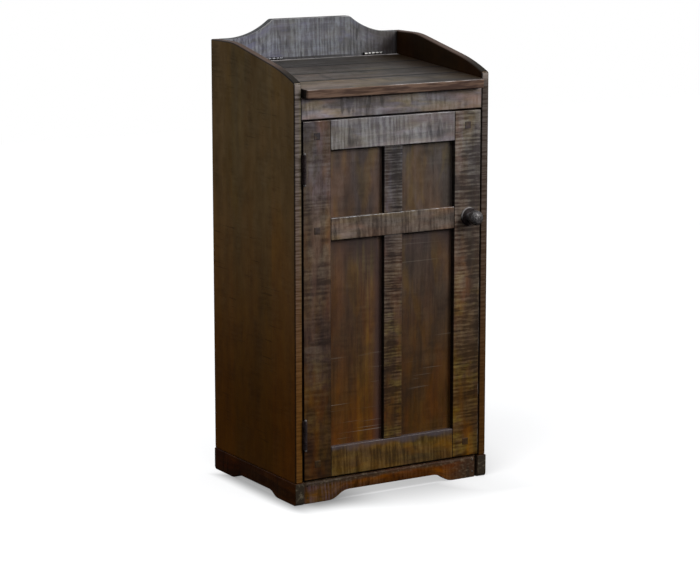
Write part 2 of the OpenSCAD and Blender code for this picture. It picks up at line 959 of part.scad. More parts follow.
module catch_strike() {
    x1 = door_x - strike_inset;
    color(STEEL)
        placed()
            box([x1 - strike_w, x1], [door_y1, door_y1 + strike_t],
                [catch_z - strike_h / 2, catch_z + strike_h / 2]);
}

// Hinges

// Butt hinge leaf along +Z from its lower end, with the pin's axis at x = y = 0. Its plate
// fills plate_x and plate_y. Its knuckles are every second one, counted from first.
module hinge_leaf(h, barrel_r, pin_r, plate_x, plate_y, first) {
    pitch = h / KNUCKLES;
    difference() {
        union() {
            for (i = [first:2:KNUCKLES - 1]) {
                z0 = i * pitch + (i > 0 ? knuckle_gap / 2 : 0);
                z1 = (i + 1) * pitch - (i < KNUCKLES - 1 ? knuckle_gap / 2 : 0);
                translate([0, 0, z0])
                    cylinder(r = barrel_r, h = z1 - z0);
            }
            difference() {
                box(plate_x, plate_y, [0, h]);
                for (i = [1 - first:2:KNUCKLES - 1]) {
                    z0 = i * pitch - (i > 0 ? knuckle_gap / 2 : CUT);
                    z1 = (i + 1) * pitch + (i < KNUCKLES - 1 ? knuckle_gap / 2 : CUT);
                    box([plate_x[0] - CUT, plate_x[1] + CUT],
                        [plate_y[0] - CUT, barrel_r + knuckle_gap], [z0, z1]);
                }
            }
        }
        translate([0, 0, -CUT])
            cylinder(r = pin_r + running_fit, h = h + 2 * CUT);
    }
}

// Start of a moving plate: inside the barrel's wall, clear of the bore
function plate_start(barrel_r, pin_r) = (barrel_r + pin_r) / 2;

// Stands what is drawn along +Z on the door hinge axis, centred on height z
module on_door_axis(z) {
    translate([door_axis_x, door_axis_y, z - door_hinge_h / 2])
        children();
}

module frame_leaf(z) {
    color(BLACK_STEEL)
        placed()
            on_door_axis(z)
                hinge_leaf(door_hinge_h, door_barrel_r, door_pin_r, door_fixed_x, [0, door_leaf_w], 0);
}

module door_leaf(z) {
    start = plate_start(door_barrel_r, door_pin_r);
    color(BLACK_STEEL)
        placed()
            on_door_axis(z)
                hinge_leaf(door_hinge_h, door_barrel_r, door_pin_r, door_moving_x, [start, door_leaf_w], 1);
}

// Pin with a ball tip at each end, cut flat where it meets the barrel
module door_pin(z) {
    reach = door_tip_r + CUT;
    color(BLACK_STEEL)
        placed()
            on_door_axis(z)
                union() {
                    translate([0, 0, -door_tip_lift])
                        cylinder(r = door_pin_r, h = door_hinge_h + 2 * door_tip_lift);
                    for (end = [0, 1])
                        translate([0, 0, end * door_hinge_h])
                            rotate([180 * (1 - end), 0, 0])
                                difference() {
                                    translate([0, 0, door_tip_lift])
                                        sphere(r = door_tip_r);
                                    box([-reach, reach], [-reach, reach], [-reach, 0]);
                                }
                }
}

module upper_frame_leaf() {
    frame_leaf(upper_hinge_z);
}

module lower_frame_leaf() {
    frame_leaf(lower_hinge_z);
}

module upper_door_leaf() {
    door_leaf(upper_hinge_z);
}

module lower_door_leaf() {
    door_leaf(lower_hinge_z);
}

module upper_hinge_pin() {
    door_pin(upper_hinge_z);
}

module lower_hinge_pin() {
    door_pin(lower_hinge_z);
}

// Lays what is drawn along +Z on the lid hinge axis, centred on x: +Y there points down
// and +X to the front
module on_lid_axis(x) {
    translate([x - lid_hinge_w / 2, lid_axis_y, lid_axis_z])
        rotate([-90, 0, 0])
            rotate([0, 90, 0])
                children();
}

module crest_leaf(x) {
    color(STEEL)
        placed()
            on_lid_axis(x)
                hinge_leaf(lid_hinge_w, lid_barrel_r, lid_pin_r, lid_fixed_x, [0, lid_leaf_w], 0);
}

module lid_leaf(x) {
    start = plate_start(lid_barrel_r, lid_pin_r);
    color(STEEL)
        placed()
            on_lid_axis(x)
                hinge_leaf(lid_hinge_w, lid_barrel_r, lid_pin_r, lid_moving_x, [start, lid_leaf_w], 1);
}

module lid_pin(x) {
    color(STEEL)
        placed()
            on_lid_axis(x)
                cylinder(r = lid_pin_r, h = lid_hinge_w);
}

module left_crest_leaf() {
    crest_leaf(left_hinge_x);
}

module right_crest_leaf() {
    crest_leaf(right_hinge_x);
}

module left_lid_leaf() {
    lid_leaf(left_hinge_x);
}

module right_lid_leaf() {
    lid_leaf(right_hinge_x);
}

module left_lid_pin() {
    lid_pin(left_hinge_x);
}

module right_lid_pin() {
    lid_pin(right_hinge_x);
}

left_side_panel();
right_side_panel();
back_panel();
floor_panel();
crest_board();
apron_rail();
left_lid_cleat();
right_lid_cleat();
left_plinth();
right_plinth();
front_plinth();
back_plinth();
front_left_block();
front_right_block();
back_left_block();
back_right_block();
catch_magnet();
upper_frame_leaf();
lower_frame_leaf();
upper_hinge_pin();
lower_hinge_pin();
left_crest_leaf();
right_crest_leaf();
left_lid_pin();
right_lid_pin();
left_stile();
right_stile();
top_rail();
middle_rail();
bottom_rail();
upper_muntin();
lower_muntin();
upper_left_panel();
upper_right_panel();
lower_left_panel();
lower_right_panel();
top_left_peg();
middle_left_peg();
bottom_left_peg();
top_right_peg();
bottom_right_peg();
knob_rose();
knob();
knob_bolt();
catch_strike();
upper_door_leaf();
lower_door_leaf();
back_lid_board();
second_lid_board();
third_lid_board();
front_lid_board();
left_lid_batten();
right_lid_batten();
left_lid_leaf();
right_lid_leaf();
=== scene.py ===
"""A tall trash can cabinet in dark stained, rough-sawn wood, dressed for rendering.

Metres. X runs to the right, Y to the back and Z up; the ground is at z = 0.
"""

import math

import bpy
import numpy as np
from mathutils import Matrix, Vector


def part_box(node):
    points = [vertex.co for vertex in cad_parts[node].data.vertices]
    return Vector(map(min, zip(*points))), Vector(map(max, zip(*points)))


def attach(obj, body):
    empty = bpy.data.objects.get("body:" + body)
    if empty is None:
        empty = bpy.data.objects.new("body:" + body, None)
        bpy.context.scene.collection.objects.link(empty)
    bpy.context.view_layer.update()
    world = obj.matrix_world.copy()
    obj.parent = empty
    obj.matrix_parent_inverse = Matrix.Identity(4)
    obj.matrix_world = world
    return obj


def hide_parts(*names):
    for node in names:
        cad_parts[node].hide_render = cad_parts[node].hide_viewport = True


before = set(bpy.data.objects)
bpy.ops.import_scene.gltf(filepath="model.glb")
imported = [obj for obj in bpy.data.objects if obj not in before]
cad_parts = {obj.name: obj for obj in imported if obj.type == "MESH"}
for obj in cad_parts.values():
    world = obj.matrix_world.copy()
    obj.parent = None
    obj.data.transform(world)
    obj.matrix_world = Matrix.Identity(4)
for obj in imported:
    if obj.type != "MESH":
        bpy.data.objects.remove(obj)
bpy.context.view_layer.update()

# The view: a long lens a little above the lid, five and a half metres away in front and to
# the left of the cabinet.
camera_data = bpy.data.cameras.new("camera")
camera_data.sensor_width = 36
camera_data.lens = 123.064
camera = bpy.data.objects.new("camera", camera_data)
camera.location = (-2.8076, -4.6295, 1.4761)
camera.rotation_euler = (math.radians(79.335), 0, math.radians(-31.133))
bpy.context.scene.collection.objects.link(camera)
bpy.context.scene.camera = camera
bpy.context.scene.view_settings.view_transform = "Standard"


# The floor: a plain pale sheet, with a soft shade painted on it close before and left of the
# plinth. It glows, so that shadows on it stay soft, and its light is kept off the cabinet.
def feed(tree, made, inputs):
    """Sets the inputs of a node to numbers, or joins them to other sockets."""
    for name, value in dict(inputs).items():
        if isinstance(value, bpy.types.NodeSocket):
            tree.links.new(value, made.inputs[name])
        else:
            made.inputs[name].default_value = value


def node(tree, kind, inputs=(), **settings):
    """One node of a node tree, with its settings and its inputs."""
    made = tree.nodes.new("ShaderNode" + kind)
    for name, value in settings.items():
        setattr(made, name, value)
    feed(tree, made, inputs)
    return made


def maths(tree, operation, *values):
    """The result of a Math node. Of more than two values, each next one is joined to the
    result so far."""
    if len(values) > 2:
        values = maths(tree, operation, *values[:-1]), values[-1]
    return node(tree, "Math", dict(enumerate(values)), operation=operation).outputs[0]


def plus(tree, *values):
    """The sum of some numbers."""
    return maths(tree, "ADD", *values)


def minus(tree, first, second):
    """The difference of two numbers."""
    return maths(tree, "SUBTRACT", first, second)


def times(tree, *values):
    """The product of some numbers."""
    return maths(tree, "MULTIPLY", *values)


def largest(tree, *values):
    """The largest of some numbers."""
    return maths(tree, "MAXIMUM", *values)


def fade(tree, value, start, end, low=0.0, high=1.0):
    """A smooth change from `low` to `high` while the value goes from start to end."""
    return node(tree, "MapRange", {
        "Value": value, "From Min": start, "From Max": end, "To Min": low, "To Max": high,
    }, interpolation_type="SMOOTHSTEP").outputs[0]


def axes_of(tree, vector):
    """The parts X, Y and Z of a vector."""
    return node(tree, "SeparateXYZ", {0: vector}).outputs


def material(name):
    """A new material with its node tree, its shader and its output joined."""
    made = bpy.data.materials.new(name)
    made.use_nodes = True
    made.node_tree.nodes.clear()
    shader = node(made.node_tree, "BsdfPrincipled")
    node(made.node_tree, "OutputMaterial", {"Surface": shader.outputs[0]})
    return made, made.node_tree, shader


floor_half = 6.0
floor_mesh = bpy.data.meshes.new("floor")
floor_mesh.from_pydata([
    (x * floor_half, y * floor_half, 0) for x, y in ((-1, -1), (1, -1), (1, 1), (-1, 1))
], [], [(0, 1, 2, 3)])
floor_paint, tree, shader = material("pale floor")
foot_low, foot_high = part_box("left_plinth")[0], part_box("right_plinth")[1]
axes = axes_of(tree, node(tree, "TexCoord").outputs["Object"])
beside = minus(tree, foot_low[0], axes["X"])
before = minus(tree, foot_low[1], axes["Y"])
away = node(tree, "VectorMath", {0: node(tree, "CombineXYZ", {
    "X": largest(tree, times(tree, beside, 2.0), 0.0),
    "Y": largest(tree, before, 0.0),
}).outputs[0]}, operation="LENGTH").outputs["Value"]
# The painted shade reaches 9 cm out at the plinth's left end, and 20 cm out right of its middle
away = maths(tree, "DIVIDE", away, fade(tree, axes["X"], -0.2, 0.05, 0.09, 0.2))
# How pale the floor is: the painted shade is deepest along the plinth, up to a third paler
# under it, and there is none behind the cabinet or past its right end
darkest_painted_shade = plus(tree, fade(tree, axes["X"], -0.24, -0.2, 0.4, 0.26),
               fade(tree, axes["X"], -0.18, -0.02, 0, 0.36))
under = times(tree, fade(tree, largest(tree, beside, before), 0, -0.012, 1, 1.32), darkest_painted_shade)
past = plus(tree, fade(tree, axes["X"], -0.05, 0.2, 0, 0.88), fade(tree, axes["X"], 0.2, 0.45, 0, 0.12))
past = largest(tree, past, fade(tree, axes["Y"], foot_high[1] - 0.12, foot_high[1] - 0.02))
pale = largest(tree, fade(tree, away, -0.15, 1, darkest_painted_shade), past, under)
feed(tree, shader, {
    "Base Color": times(tree, pale, 0.4), "Roughness": 0.9, "Specular IOR Level": 0,
    "Emission Color": (1, 1, 1, 1), "Emission Strength": times(tree, pale, 0.62),
})
floor_mesh.materials.append(floor_paint)
floor = bpy.data.objects.new("floor", floor_mesh)
floor.visible_diffuse = False
floor.visible_glossy = False
bpy.context.scene.collection.objects.link(floor)

# The light: a key softbox in front to the right that spares the floor, a wide weak one
# overhead, a lamp high on the left for the floor alone, and a studio pale above and dark
# below.
floor_alone = bpy.data.collections.new("lit by the floor lamp")
floor_alone.objects.link(floor)
all_but_floor = bpy.data.collections.new("lit by the key softbox")
all_but_floor.objects.link(floor)
all_but_floor.collection_objects[0].light_linking.link_state = "EXCLUDE"
for name, place, target, size, power, tint, lit in (
    ("key softbox", (2.3, -3.2, 2.5), (0, 0, 0.6), (1.6, 1.8), 150, (1, 0.985, 0.96), all_but_floor),
    ("overhead softbox", (0.2, -1.2, 3.4), (0, 0, 0.4), (2.6, 2.6), 40, (0.97, 0.98, 1), None),
    ("floor lamp", (-1.5, -0.9, 2.4), (0.0, 0.0, 0), None, 1.5, (1, 1, 1), floor_alone),
):
    lamp_data = bpy.data.lights.new(name, "AREA" if size else "SUN")
    if size:
        lamp_data.shape = "RECTANGLE"
        lamp_data.size, lamp_data.size_y = size
    else:
        lamp_data.angle = math.radians(35)
    lamp_data.energy = power
    lamp_data.color = tint
    lamp = bpy.data.objects.new(name, lamp_data)
    lamp.location = place
    aim = Vector(target) - Vector(place)
    lamp.rotation_euler = aim.to_track_quat("-Z", "Y").to_euler()
    bpy.context.scene.collection.objects.link(lamp)
    if lit:
        lamp.light_linking.receiver_collection = lit

studio = bpy.data.worlds.new("studio")
studio.use_nodes = True
bpy.context.scene.world = studio
tree = studio.node_tree
tree.nodes.clear()
way = axes_of(tree, node(tree, "TexCoord").outputs["Generated"])
upward = fade(tree, way["Z"], -0.1, 0.3, 0.015, 0.62)
leftward = node(tree, "MapRange", {
    "Value": way["X"], "From Min": -0.9, "From Max": 0.7, "To Min": 1.25, "To Max": 0.9,
}).outputs[0]
room = node(tree, "Background", {"Color": (0.95, 0.97, 1, 1), "Strength": times(tree, upward, leftward)})
backdrop = node(tree, "Background", {"Color": (1, 1, 1, 1), "Strength": 1})
seen = node(tree, "MixShader", {
    0: node(tree, "LightPath").outputs["Is Camera Ray"], 1: room.outputs[0], 2: backdrop.outputs[0],
})
node(tree, "OutputWorld", {"Surface": seen.outputs[0]})


# Side panels: each glued up from boards with the grain upright, planed smooth and rubbed
# down at the arrises, with a shaped top edge and a rebate at the back for the back panel.
def corners_of(name):
    """The lower and the higher corner of the box round a node of the frame."""
    return [np.array(corner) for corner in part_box(name)]


def stations(length, ease, step, extra=()):
    """Places along one edge of a board. Equal angles round the softened arris fall at
    ease * (1 - tan(angle)) from each end; two more follow inside it, then even steps."""
    turn = ease * (1 - np.tan(np.radians([45, 30, 15, 0])))
    near = np.concatenate([turn, ease + np.array([0.002, 0.006])])
    near = near[near < length / 2]
    steps = max(2, math.ceil((length - 2 * near[-1]) / step) + 1)
    inner = np.linspace(near[-1], length - near[-1], steps)
    return np.unique(np.round(np.concatenate([near, inner, length - near, np.array(extra)]), 7))


def board_skin(low, high, ease=0.0012, step=0.012, extra=None):
    """Points and faces of a board with softened arrises, and where each point was on the
    plain board. `extra` gives more places for points, by axis.

    Every face of the box is a grid. Each point is pulled to the nearest point of a box
    that is smaller by the arris radius all round, and pushed out again by that radius
    along the same line."""
    low, high = np.array(low, float), np.array(high, float)
    places = [
        low[i] + stations(high[i] - low[i], ease, step, np.array((extra or {}).get(i, [])) - low[i])
        for i in range(3)
    ]
    points, faces, count = [], [], 0
    for axis in range(3):
        a, b = (axis + 1) % 3, (axis + 2) % 3
        for far, plane in ((False, low[axis]), (True, high[axis])):
            u, v = np.meshgrid(places[a], places[b], indexing="ij")
            grid = np.empty(u.shape + (3,))
            grid[..., a], grid[..., b], grid[..., axis] = u, v, plane
            number = count + np.arange(u.size).reshape(u.shape)
            loop = [number[:-1, :-1], number[1:, :-1], number[1:, 1:], number[:-1, 1:]]
            faces.append(np.stack(loop if far else loop[::-1], -1).reshape(-1, 4))
            points.append(grid.reshape(-1, 3))
            count += u.size
    points, faces = np.concatenate(points), np.concatenate(faces)
    _, first, back = np.unique(
        np.round(points * 1e6).astype(int), axis=0, return_index=True, return_inverse=True
    )
    points, faces = points[first], back.reshape(-1)[faces]
    inside = np.clip(points, low + ease, high - ease)
    away = points - inside
    return inside + ease * away / np.linalg.norm(away, axis=1, keepdims=True), faces, points


X, Y, Z = 0, 1, 2
LEFT, RIGHT, FRONT, BACK, FOOT, TOP = (X, 0), (X, 1), (Y, 0), (Y, 1), (Z, 0), (Z, 1)


def arris_field(points, low, high, arrises, reach):
    """Nearness to some arrises of a board: 1 on the arris, and less by a factor e for every
    `reach` along or behind its faces. An arris is a pair of faces; a face is (axis, 0 for
    the lower or 1 for the higher end)."""
    def gap(axis, end):
        """How far each point is from a face."""
        return np.abs((low, high)[end][axis] - points[:, axis])

    field = np.zeros(len(points))
    for first, second in arrises:
        field = np.maximum(field, np.exp(-(gap(*first) + gap(*second)) / reach))
    return field


def rounded_corner(points, axes, corner, inward, radius):
    """Rounds one long corner of a board. In the square of side `radius` at the corner, a
    point keeps its direction from the arc's centre, and its distance becomes the larger
    of its two offsets, so the square's outer sides land on the arc."""
    a, b = axes
    offset = np.stack([
        radius - (points[:, a] - corner[0]) * inward[0],
        radius - (points[:, b] - corner[1]) * inward[1],
    ], 1)
    near = (offset > 0).all(1)
    length = np.linalg.norm(offset[near], axis=1, keepdims=True)
    offset[near] *= offset[near].max(1, keepdims=True) / np.maximum(length, 1e-9)
    points[near, a] = corner[0] + inward[0] * (radius - offset[near, 0])
    points[near, b] = corner[1] + inward[1] * (radius - offset[near, 1])
    return points


def solid(name, points, faces, body, paint, nodes=(), fields=None, sharp=50):
    """A piece from its points and faces, with its finish and its named fields, which hold a
    number or a vector for every point. Edges over `sharp` degrees stay sharp."""
    mesh = bpy.data.meshes.new(name)
    mesh.from_pydata(points.tolist(), [], faces.tolist() if isinstance(faces, np.ndarray) else faces)
    for field, values in (fields or {}).items():
        kind, part = ("FLOAT_VECTOR", "vector") if values.ndim == 2 else ("FLOAT", "value")
        layer = mesh.attributes.new(field, kind, "POINT")
        layer.data.foreach_set(part, values.astype(np.float32).ravel())
    mesh.polygons.foreach_set("use_smooth", np.ones(len(mesh.polygons), bool))
    mesh.set_sharp_from_angle(angle=math.radians(sharp))
    mesh.materials.append(paint)
    mesh.validate()
    piece = bpy.data.objects.new(name, mesh)
    bpy.context.scene.collection.objects.link(piece)
    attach(piece, body)
    if nodes:
        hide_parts(*nodes)
    return piece


seed_step = np.array([1.37, 0.71, 0.29])
worn_reach = 0.0024


def board(name, low, high, grain, seed, body, paint, nodes, ease=0.0012, step=0.012,
          extra=None, shape=None, worn=(), joints=(), reach=0.0014, mirrored=False):
    """A board along the axis `grain`. Its pattern is laid out in its own measures, along,
    across and through the wood, moved on by `seed` steps so that no two boards match. Its
    arrises `worn` are rubbed pale, partly as a painted highlight, and stain has gathered at its
    arrises `joints`."""
    points, faces, plain = board_skin(low, high, ease, step, extra)
    size = np.array(high) - np.array(low)
    across, through = sorted((i for i in range(3) if i != grain), key=lambda i: -size[i])
    fields = {
        "board": points[:, [grain, across, through]] + seed * seed_step,
        "rim": arris_field(plain, low, high, worn, worn_reach),
        "seam": arris_field(plain, low, high, joints, reach),
    }
    if shape:
        points = shape(points)
    if mirrored:
        points[:, 0] *= -1
        faces = faces[:, ::-1]
    return solid(name, points, faces, body, paint, nodes, fields)


def scaled(tree, vector, factors):
    """A vector with its three parts multiplied."""
    return node(tree, "VectorMath", {0: vector, 1: factors}, operation="MULTIPLY").outputs[0]


def moved(tree, vector, shift):
    """The sum of two vectors."""
    return node(tree, "VectorMath", {0: vector, 1: shift}, operation="ADD").outputs[0]


def blend(tree, factor, first, second, kind="MIX"):
    """A mix of two colours."""
    return node(tree, "Mix", {0: factor, 6: first, 7: second}, data_type="RGBA", blend_type=kind).outputs[2]


def tinted(tree, colour, tint):
    """A colour with its red, green and blue multiplied."""
    return blend(tree, 1.0, colour, tint + (1,), "MULTIPLY")


def scaled_tone(tree, colour, factor):
    """A colour made darker or lighter."""
    return tinted(tree, colour, (factor, factor, factor))


def noise(tree, vector, scale=1.0, detail=2.0, rough=0.5, distortion=0.0):
    """Smooth noise: a number between 0 and 1, or a colour."""
    return node(tree, "TexNoise", {
        "Vector": vector, "Scale": scale, "Detail": detail, "Roughness": rough, "Distortion": distortion,
    }).outputs


def cloud(tree, vector, factors, detail=2.0, rough=0.5):
    """Smooth noise between 0 and 1, stretched by the factors (features per metre)."""
    return noise(tree, scaled(tree, vector, factors), 1.0, detail, rough)["Fac"]


def relief(tree, height, distance=0.001, strength=1.0):
    """The normal of a surface with a fine relief."""
    values = {"Strength": strength, "Distance": distance, "Height": height}
    return node(tree, "Bump", values).outputs[0]


def effect(name, inputs, outputs):
    """An empty node group for an effect: its tree, its input sockets and its output node.

    Inputs are (name, kind, value) and outputs are names of numbers."""
    tree = bpy.data.node_groups.new(name, "ShaderNodeTree")
    for label, kind, value in inputs:
        socket = tree.interface.new_socket(label, in_out="INPUT", socket_type="NodeSocket" + kind)
        if value is not None:
            socket.default_value = value
    for label in outputs:
        tree.interface.new_socket(label, in_out="OUTPUT", socket_type="NodeSocketFloat")
    start = tree.nodes.new("NodeGroupInput")
    end = tree.nodes.new("NodeGroupOutput")
    return tree, start.outputs, end


def finish_effect(tree, end, values):
    """The group with the values joined to its outputs."""
    feed(tree, end, values)
    return tree


def place_effect(tree, group, inputs):
    """The outputs of a group placed in a tree with its own values."""
    return node(tree, "Group", inputs, node_tree=group).outputs


# Wood grain: growth bands, fine fibre and short dark pores, all drawn out along the grain.
tree, given, end = effect("wood grain", [("Vector", "Vector", None)], ["Figure", "Fibre", "Pores"])
drift = noise(tree, scaled(tree, given["Vector"], (1.6, 5, 5)), detail=1.0)["Color"]
bent = moved(tree, given["Vector"], scaled(tree, drift, (0, 0.05, 0.05)))
figure = cloud(tree, bent, (1.5, 42, 42), 3, 0.55)
fibre = cloud(tree, bent, (9, 330, 330), 3, 0.6)
pores = cloud(tree, bent, (45, 950, 950), 1, 0.5)
grain_effect = finish_effect(tree, end, {
    "Figure": fade(tree, figure, 0.36, 0.66),
    "Fibre": fade(tree, fibre, 0.3, 0.7),
    "Pores": fade(tree, pores, 0.62, 0.74),
})

# Saw marks: grooves across the board at an uneven pitch, nearly straight and a little
# slanted, strong in some places and almost planed away in others.
tree, given, end = effect("saw marks", [
    ("Vector", "Vector", None), ("Pitch", "Float", 0.006), ("Slant", "Float", 0.03),
    ("Worn", "Float", 0.5),
], ["Ridges", "Fine", "Deep", "Strength"])
axes = axes_of(tree, given["Vector"])
waver = times(tree, minus(tree, cloud(tree, given["Vector"], (4, 7, 7), 2), 0.5), 0.006)
along = plus(tree, axes["X"], times(tree, axes["Y"], given["Slant"]), waver)
along = maths(tree, "DIVIDE", along, given["Pitch"])
lines = node(tree, "CombineXYZ", {
    "X": along, "Y": times(tree, axes["Y"], 36), "Z": times(tree, axes["Z"], 22),
}).outputs[0]
uneven = noise(tree, lines, 0.17, 3.0, 0.8)["Fac"]
uneven = times(tree, minus(tree, uneven, 0.5), 4.5)
late = times(tree, cloud(tree, given["Vector"], (20, 1, 1), 1), 26)
teeth = maths(tree, "SINE", plus(tree, times(tree, along, math.pi), late))
ridges = plus(tree, uneven, times(tree, teeth, 0.35))
fine = noise(tree, lines, 1.5, 2.0, 0.7)["Fac"]
deep = noise(tree, lines, 0.42, 0.0)["Fac"]
patch = cloud(tree, given["Vector"], (11, 26, 26), 2, 0.6)
saw_effect = finish_effect(tree, end, {
    "Ridges": fade(tree, ridges, -0.6, 0.6),
    "Fine": fade(tree, fine, 0.32, 0.62),
    "Deep": fade(tree, deep, 0.33, 0.25),
    "Strength": fade(tree, minus(tree, patch, given["Worn"]), -0.14, 0.08, 0.06, 1.0),
})

# Stain patches: places where the stain took redder, where it shows the yellow of the wood,
# and where it lies darker, and small clouds of thicker and thinner stain.
tree, given, end = effect("stain patches", [
    ("Vector", "Vector", None), ("Size", "Float", 0.1),
], ["Warm", "Olive", "Dark", "Mottle"])
even = node(tree, "VectorMath", {
    0: scaled(tree, given["Vector"], (0.28, 1, 1)), "Scale": maths(tree, "DIVIDE", 1.0, given["Size"]),
}, operation="SCALE").outputs[0]
redder, darker, yellower = (
    noise(tree, moved(tree, even, shift), scale, 2.5, 0.55, 0.3)["Fac"]
    for shift, scale in (((0, 0, 0), 1.0), ((7, 3, 5), 0.8), ((2, 9, 4), 1.9))
)
mottle = cloud(tree, given["Vector"], (22, 40, 40), 5, 0.72)
stain_effect = finish_effect(tree, end, {
    "Warm": fade(tree, redder, 0.44, 0.66),
    "Olive": fade(tree, yellower, 0.46, 0.64),
    "Dark": fade(tree, darker, 0.42, 0.68),
    "Mottle": fade(tree, mottle, 0.3, 0.7, -1.0, 1.0),
})

# Worn arris: the stain is rubbed off along the softened arrises, more in some stretches. On
# arrises that catch the light, this paleness is also a painted highlight.
tree, given, end = effect("worn arris", [
    ("Vector", "Vector", None), ("Rim", "Float", 0.0), ("Wear", "Float", 0.5),
], ["Mask"])
broken = cloud(tree, given["Vector"], (22, 60, 60), 3, 0.7)
worn = plus(tree, times(tree, given["Rim"], 0.8), times(tree, broken, 1.1))
worn = fade(tree, worn, 1.1, 1.45)
wear_and_highlight_effect = finish_effect(tree, end, {"Mask": times(tree, worn, given["Wear"])})

# Scratches: sparse thin lines across the grain, a little slanted.
tree, given, end = effect("scratches", [
    ("Vector", "Vector", None), ("Amount", "Float", 0.5),
], ["Mask"])
turned = node(tree, "Mapping", {"Vector": given["Vector"], "Rotation": (0, 0, math.radians(4))}).outputs[0]
marks = cloud(tree, turned, (330, 4, 4), 1, 0.5)
rare = cloud(tree, given["Vector"], (8, 9, 9), 1)
line = times(tree, fade(tree, marks, 0.66, 0.75), fade(tree, rare, 0.52, 0.62))
scratch_effect = finish_effect(tree, end, {"Mask": times(tree, line, given["Amount"])})


def tones_of(mean, figure, warm_tint, cool_gain):
    """The tones of a wood whose mean colour is given: its dark and light grain, its warm and
    its olive patches and its saw ridges."""
    mean = np.array(mean)
    grey = mean @ (0.3, 0.6, 0.1)
    dark, light = (1 - 0.5 * figure) * mean, (1 + 0.4 * figure) * mean
    ridges = (0.6 * mean + 0.4 * grey) * (0.96, 1.06, 0.96) * cool_gain
    return dark, light, mean * warm_tint, mean * (1.4, 1.2, 0.4), ridges


def stained_wood(name, foot, head, pale, figure=1.0, warm_tint=(1.7, 1.0, 0.5), cool_gain=1.9,
                 pitch=0.006, slant=0.03, worn=0.5, groove=0.6, saw_bump=0.25, warm=0.5, olive=0.5,
                 cool=0.6, deep=0.4, patch=0.1, dark=0.5, mottle=0.4, wear=0.5, scratch=(0, 0),
                 seam=0.0, rough=0.42, gloss=0.3, turn=None, extra=None):
    """A stained wood finish. Its mean colour goes from `foot` near the ground to `head` at
    the height of the lid; where `head` is greyer and bluer, that is partly a painted sheen.
    The grain runs from dark to light; patches go warm or olive; saw ridges go paler, partly as
    a painted sheen, and saw grooves dark; worn arrises and scratches go to `pale`, which on
    arrises that catch the light is also a painted highlight, and joints to black. `scratch`
    says how strong the scratches are at those two heights.

    `turn` is the Mapping rotation that lays the pattern along the grain on a node of the
    frame; a board has its own pattern field. `extra` is the function that changes the
    colour further, from the place on the cabinet and the place in the board."""
    made, tree, shader = material(name)
    place = node(tree, "TexCoord").outputs["Object"]
    if turn is None:
        own = node(tree, "Attribute", attribute_name="board").outputs["Vector"]
    else:
        own = node(tree, "Mapping", {"Vector": place, "Rotation": turn}).outputs[0]
    rim = node(tree, "Attribute", attribute_name="rim").outputs["Fac"]
    raised = fade(tree, axes_of(tree, place)["Z"], 0.12, 0.88)
    amount = fade(tree, raised, 0, 0.7, *scratch)
    grain = place_effect(tree, grain_effect, {"Vector": own})
    marks = place_effect(tree, saw_effect, {"Vector": own, "Pitch": pitch, "Slant": slant, "Worn": worn})
    stain = place_effect(tree, stain_effect, {"Vector": own, "Size": patch})
    wear_and_highlight_mask = place_effect(tree, wear_and_highlight_effect, {"Vector": own, "Rim": rim, "Wear": wear})["Mask"]
    scratch_mask = place_effect(tree, scratch_effect, {"Vector": own, "Amount": amount})["Mask"]

    # Foot and head tones; the greyer head tones are partly a painted sheen
    dark_tone, light_tone, warm_tone, olive_tone, cool_tone = (
        blend(tree, raised, tuple(low) + (1,), tuple(high) + (1,))
        for low, high in zip(*(tones_of(mean, figure, warm_tint, cool_gain) for mean in (foot, head)))
    )
    depth = plus(tree, times(tree, grain["Figure"], 0.72), times(tree, grain["Fibre"], 0.28))
    colour = blend(tree, depth, dark_tone, light_tone)
    colour = blend(tree, times(tree, stain["Olive"], olive), colour, olive_tone)
    colour = blend(tree, times(tree, stain["Warm"], warm), colour, warm_tone)

    ridge = plus(tree, times(tree, marks["Ridges"], 0.68), times(tree, marks["Fine"], 0.32))
    sawn = times(tree, ridge, marks["Strength"])
    # Paler saw ridges, partly a painted sheen
    colour = blend(tree, times(tree, sawn, cool), colour, cool_tone)
    grooves = times(tree, minus(tree, 1.0, ridge), marks["Strength"])
    shade = plus(tree, times(tree, grooves, groove), times(tree, stain["Dark"], dark),
                 times(tree, grain["Pores"], 0.25), times(tree, marks["Deep"], deep))
    shade = maths(tree, "MINIMUM", shade, 0.85)
    colour = blend(tree, shade, colour, scaled_tone(tree, dark_tone, 0.35))

    mottled = times(tree, stain["Mottle"], mottle)
    bluer = times(tree, mottled, plus(tree, times(tree, raised, 0.9), 0.5))
    colour = scaled(tree, colour, node(tree, "CombineXYZ", {
        "X": plus(tree, 1.0, times(tree, mottled, 0.85)),
        "Y": plus(tree, 1.0, mottled), "Z": plus(tree, 1.0, bluer),
    }).outputs[0])
    if extra:
        colour = extra(tree, place, own, colour)
    # Worn arrises and scratches go pale; on lit arrises this is also a painted highlight
    colour = blend(tree, largest(tree, wear_and_highlight_mask, scratch_mask), colour, pale + (1,))
    if seam:
        near = node(tree, "Attribute", attribute_name="seam").outputs["Fac"]
        near = fade(tree, near, 0.25, 0.7, 0.0, seam)
        colour = blend(tree, near, colour, (0.004, 0.003, 0.003, 1))

    polish = plus(tree, rough - 0.06, times(tree, grain["Fibre"], 0.12), times(tree, stain["Dark"], 0.08))
    height = plus(tree, times(tree, grain["Fibre"], 0.035), times(tree, sawn, saw_bump))
    height = minus(tree, height, times(tree, grain["Pores"], 0.05))
    height = plus(tree, height, times(tree, scratch_mask, 0.05))
    feed(tree, shader, {
        "Base Color": colour, "Roughness": polish, "Specular IOR Level": gloss,
        "Normal": relief(tree, height),
    })
    return made


def facing(tree, axis, start=0.4, end=0.8):
    """A mask of the faces that look along an axis of the cabinet."""
    return fade(tree, axes_of(tree, node(tree, "TexCoord").outputs["Normal"])[axis], start, end)


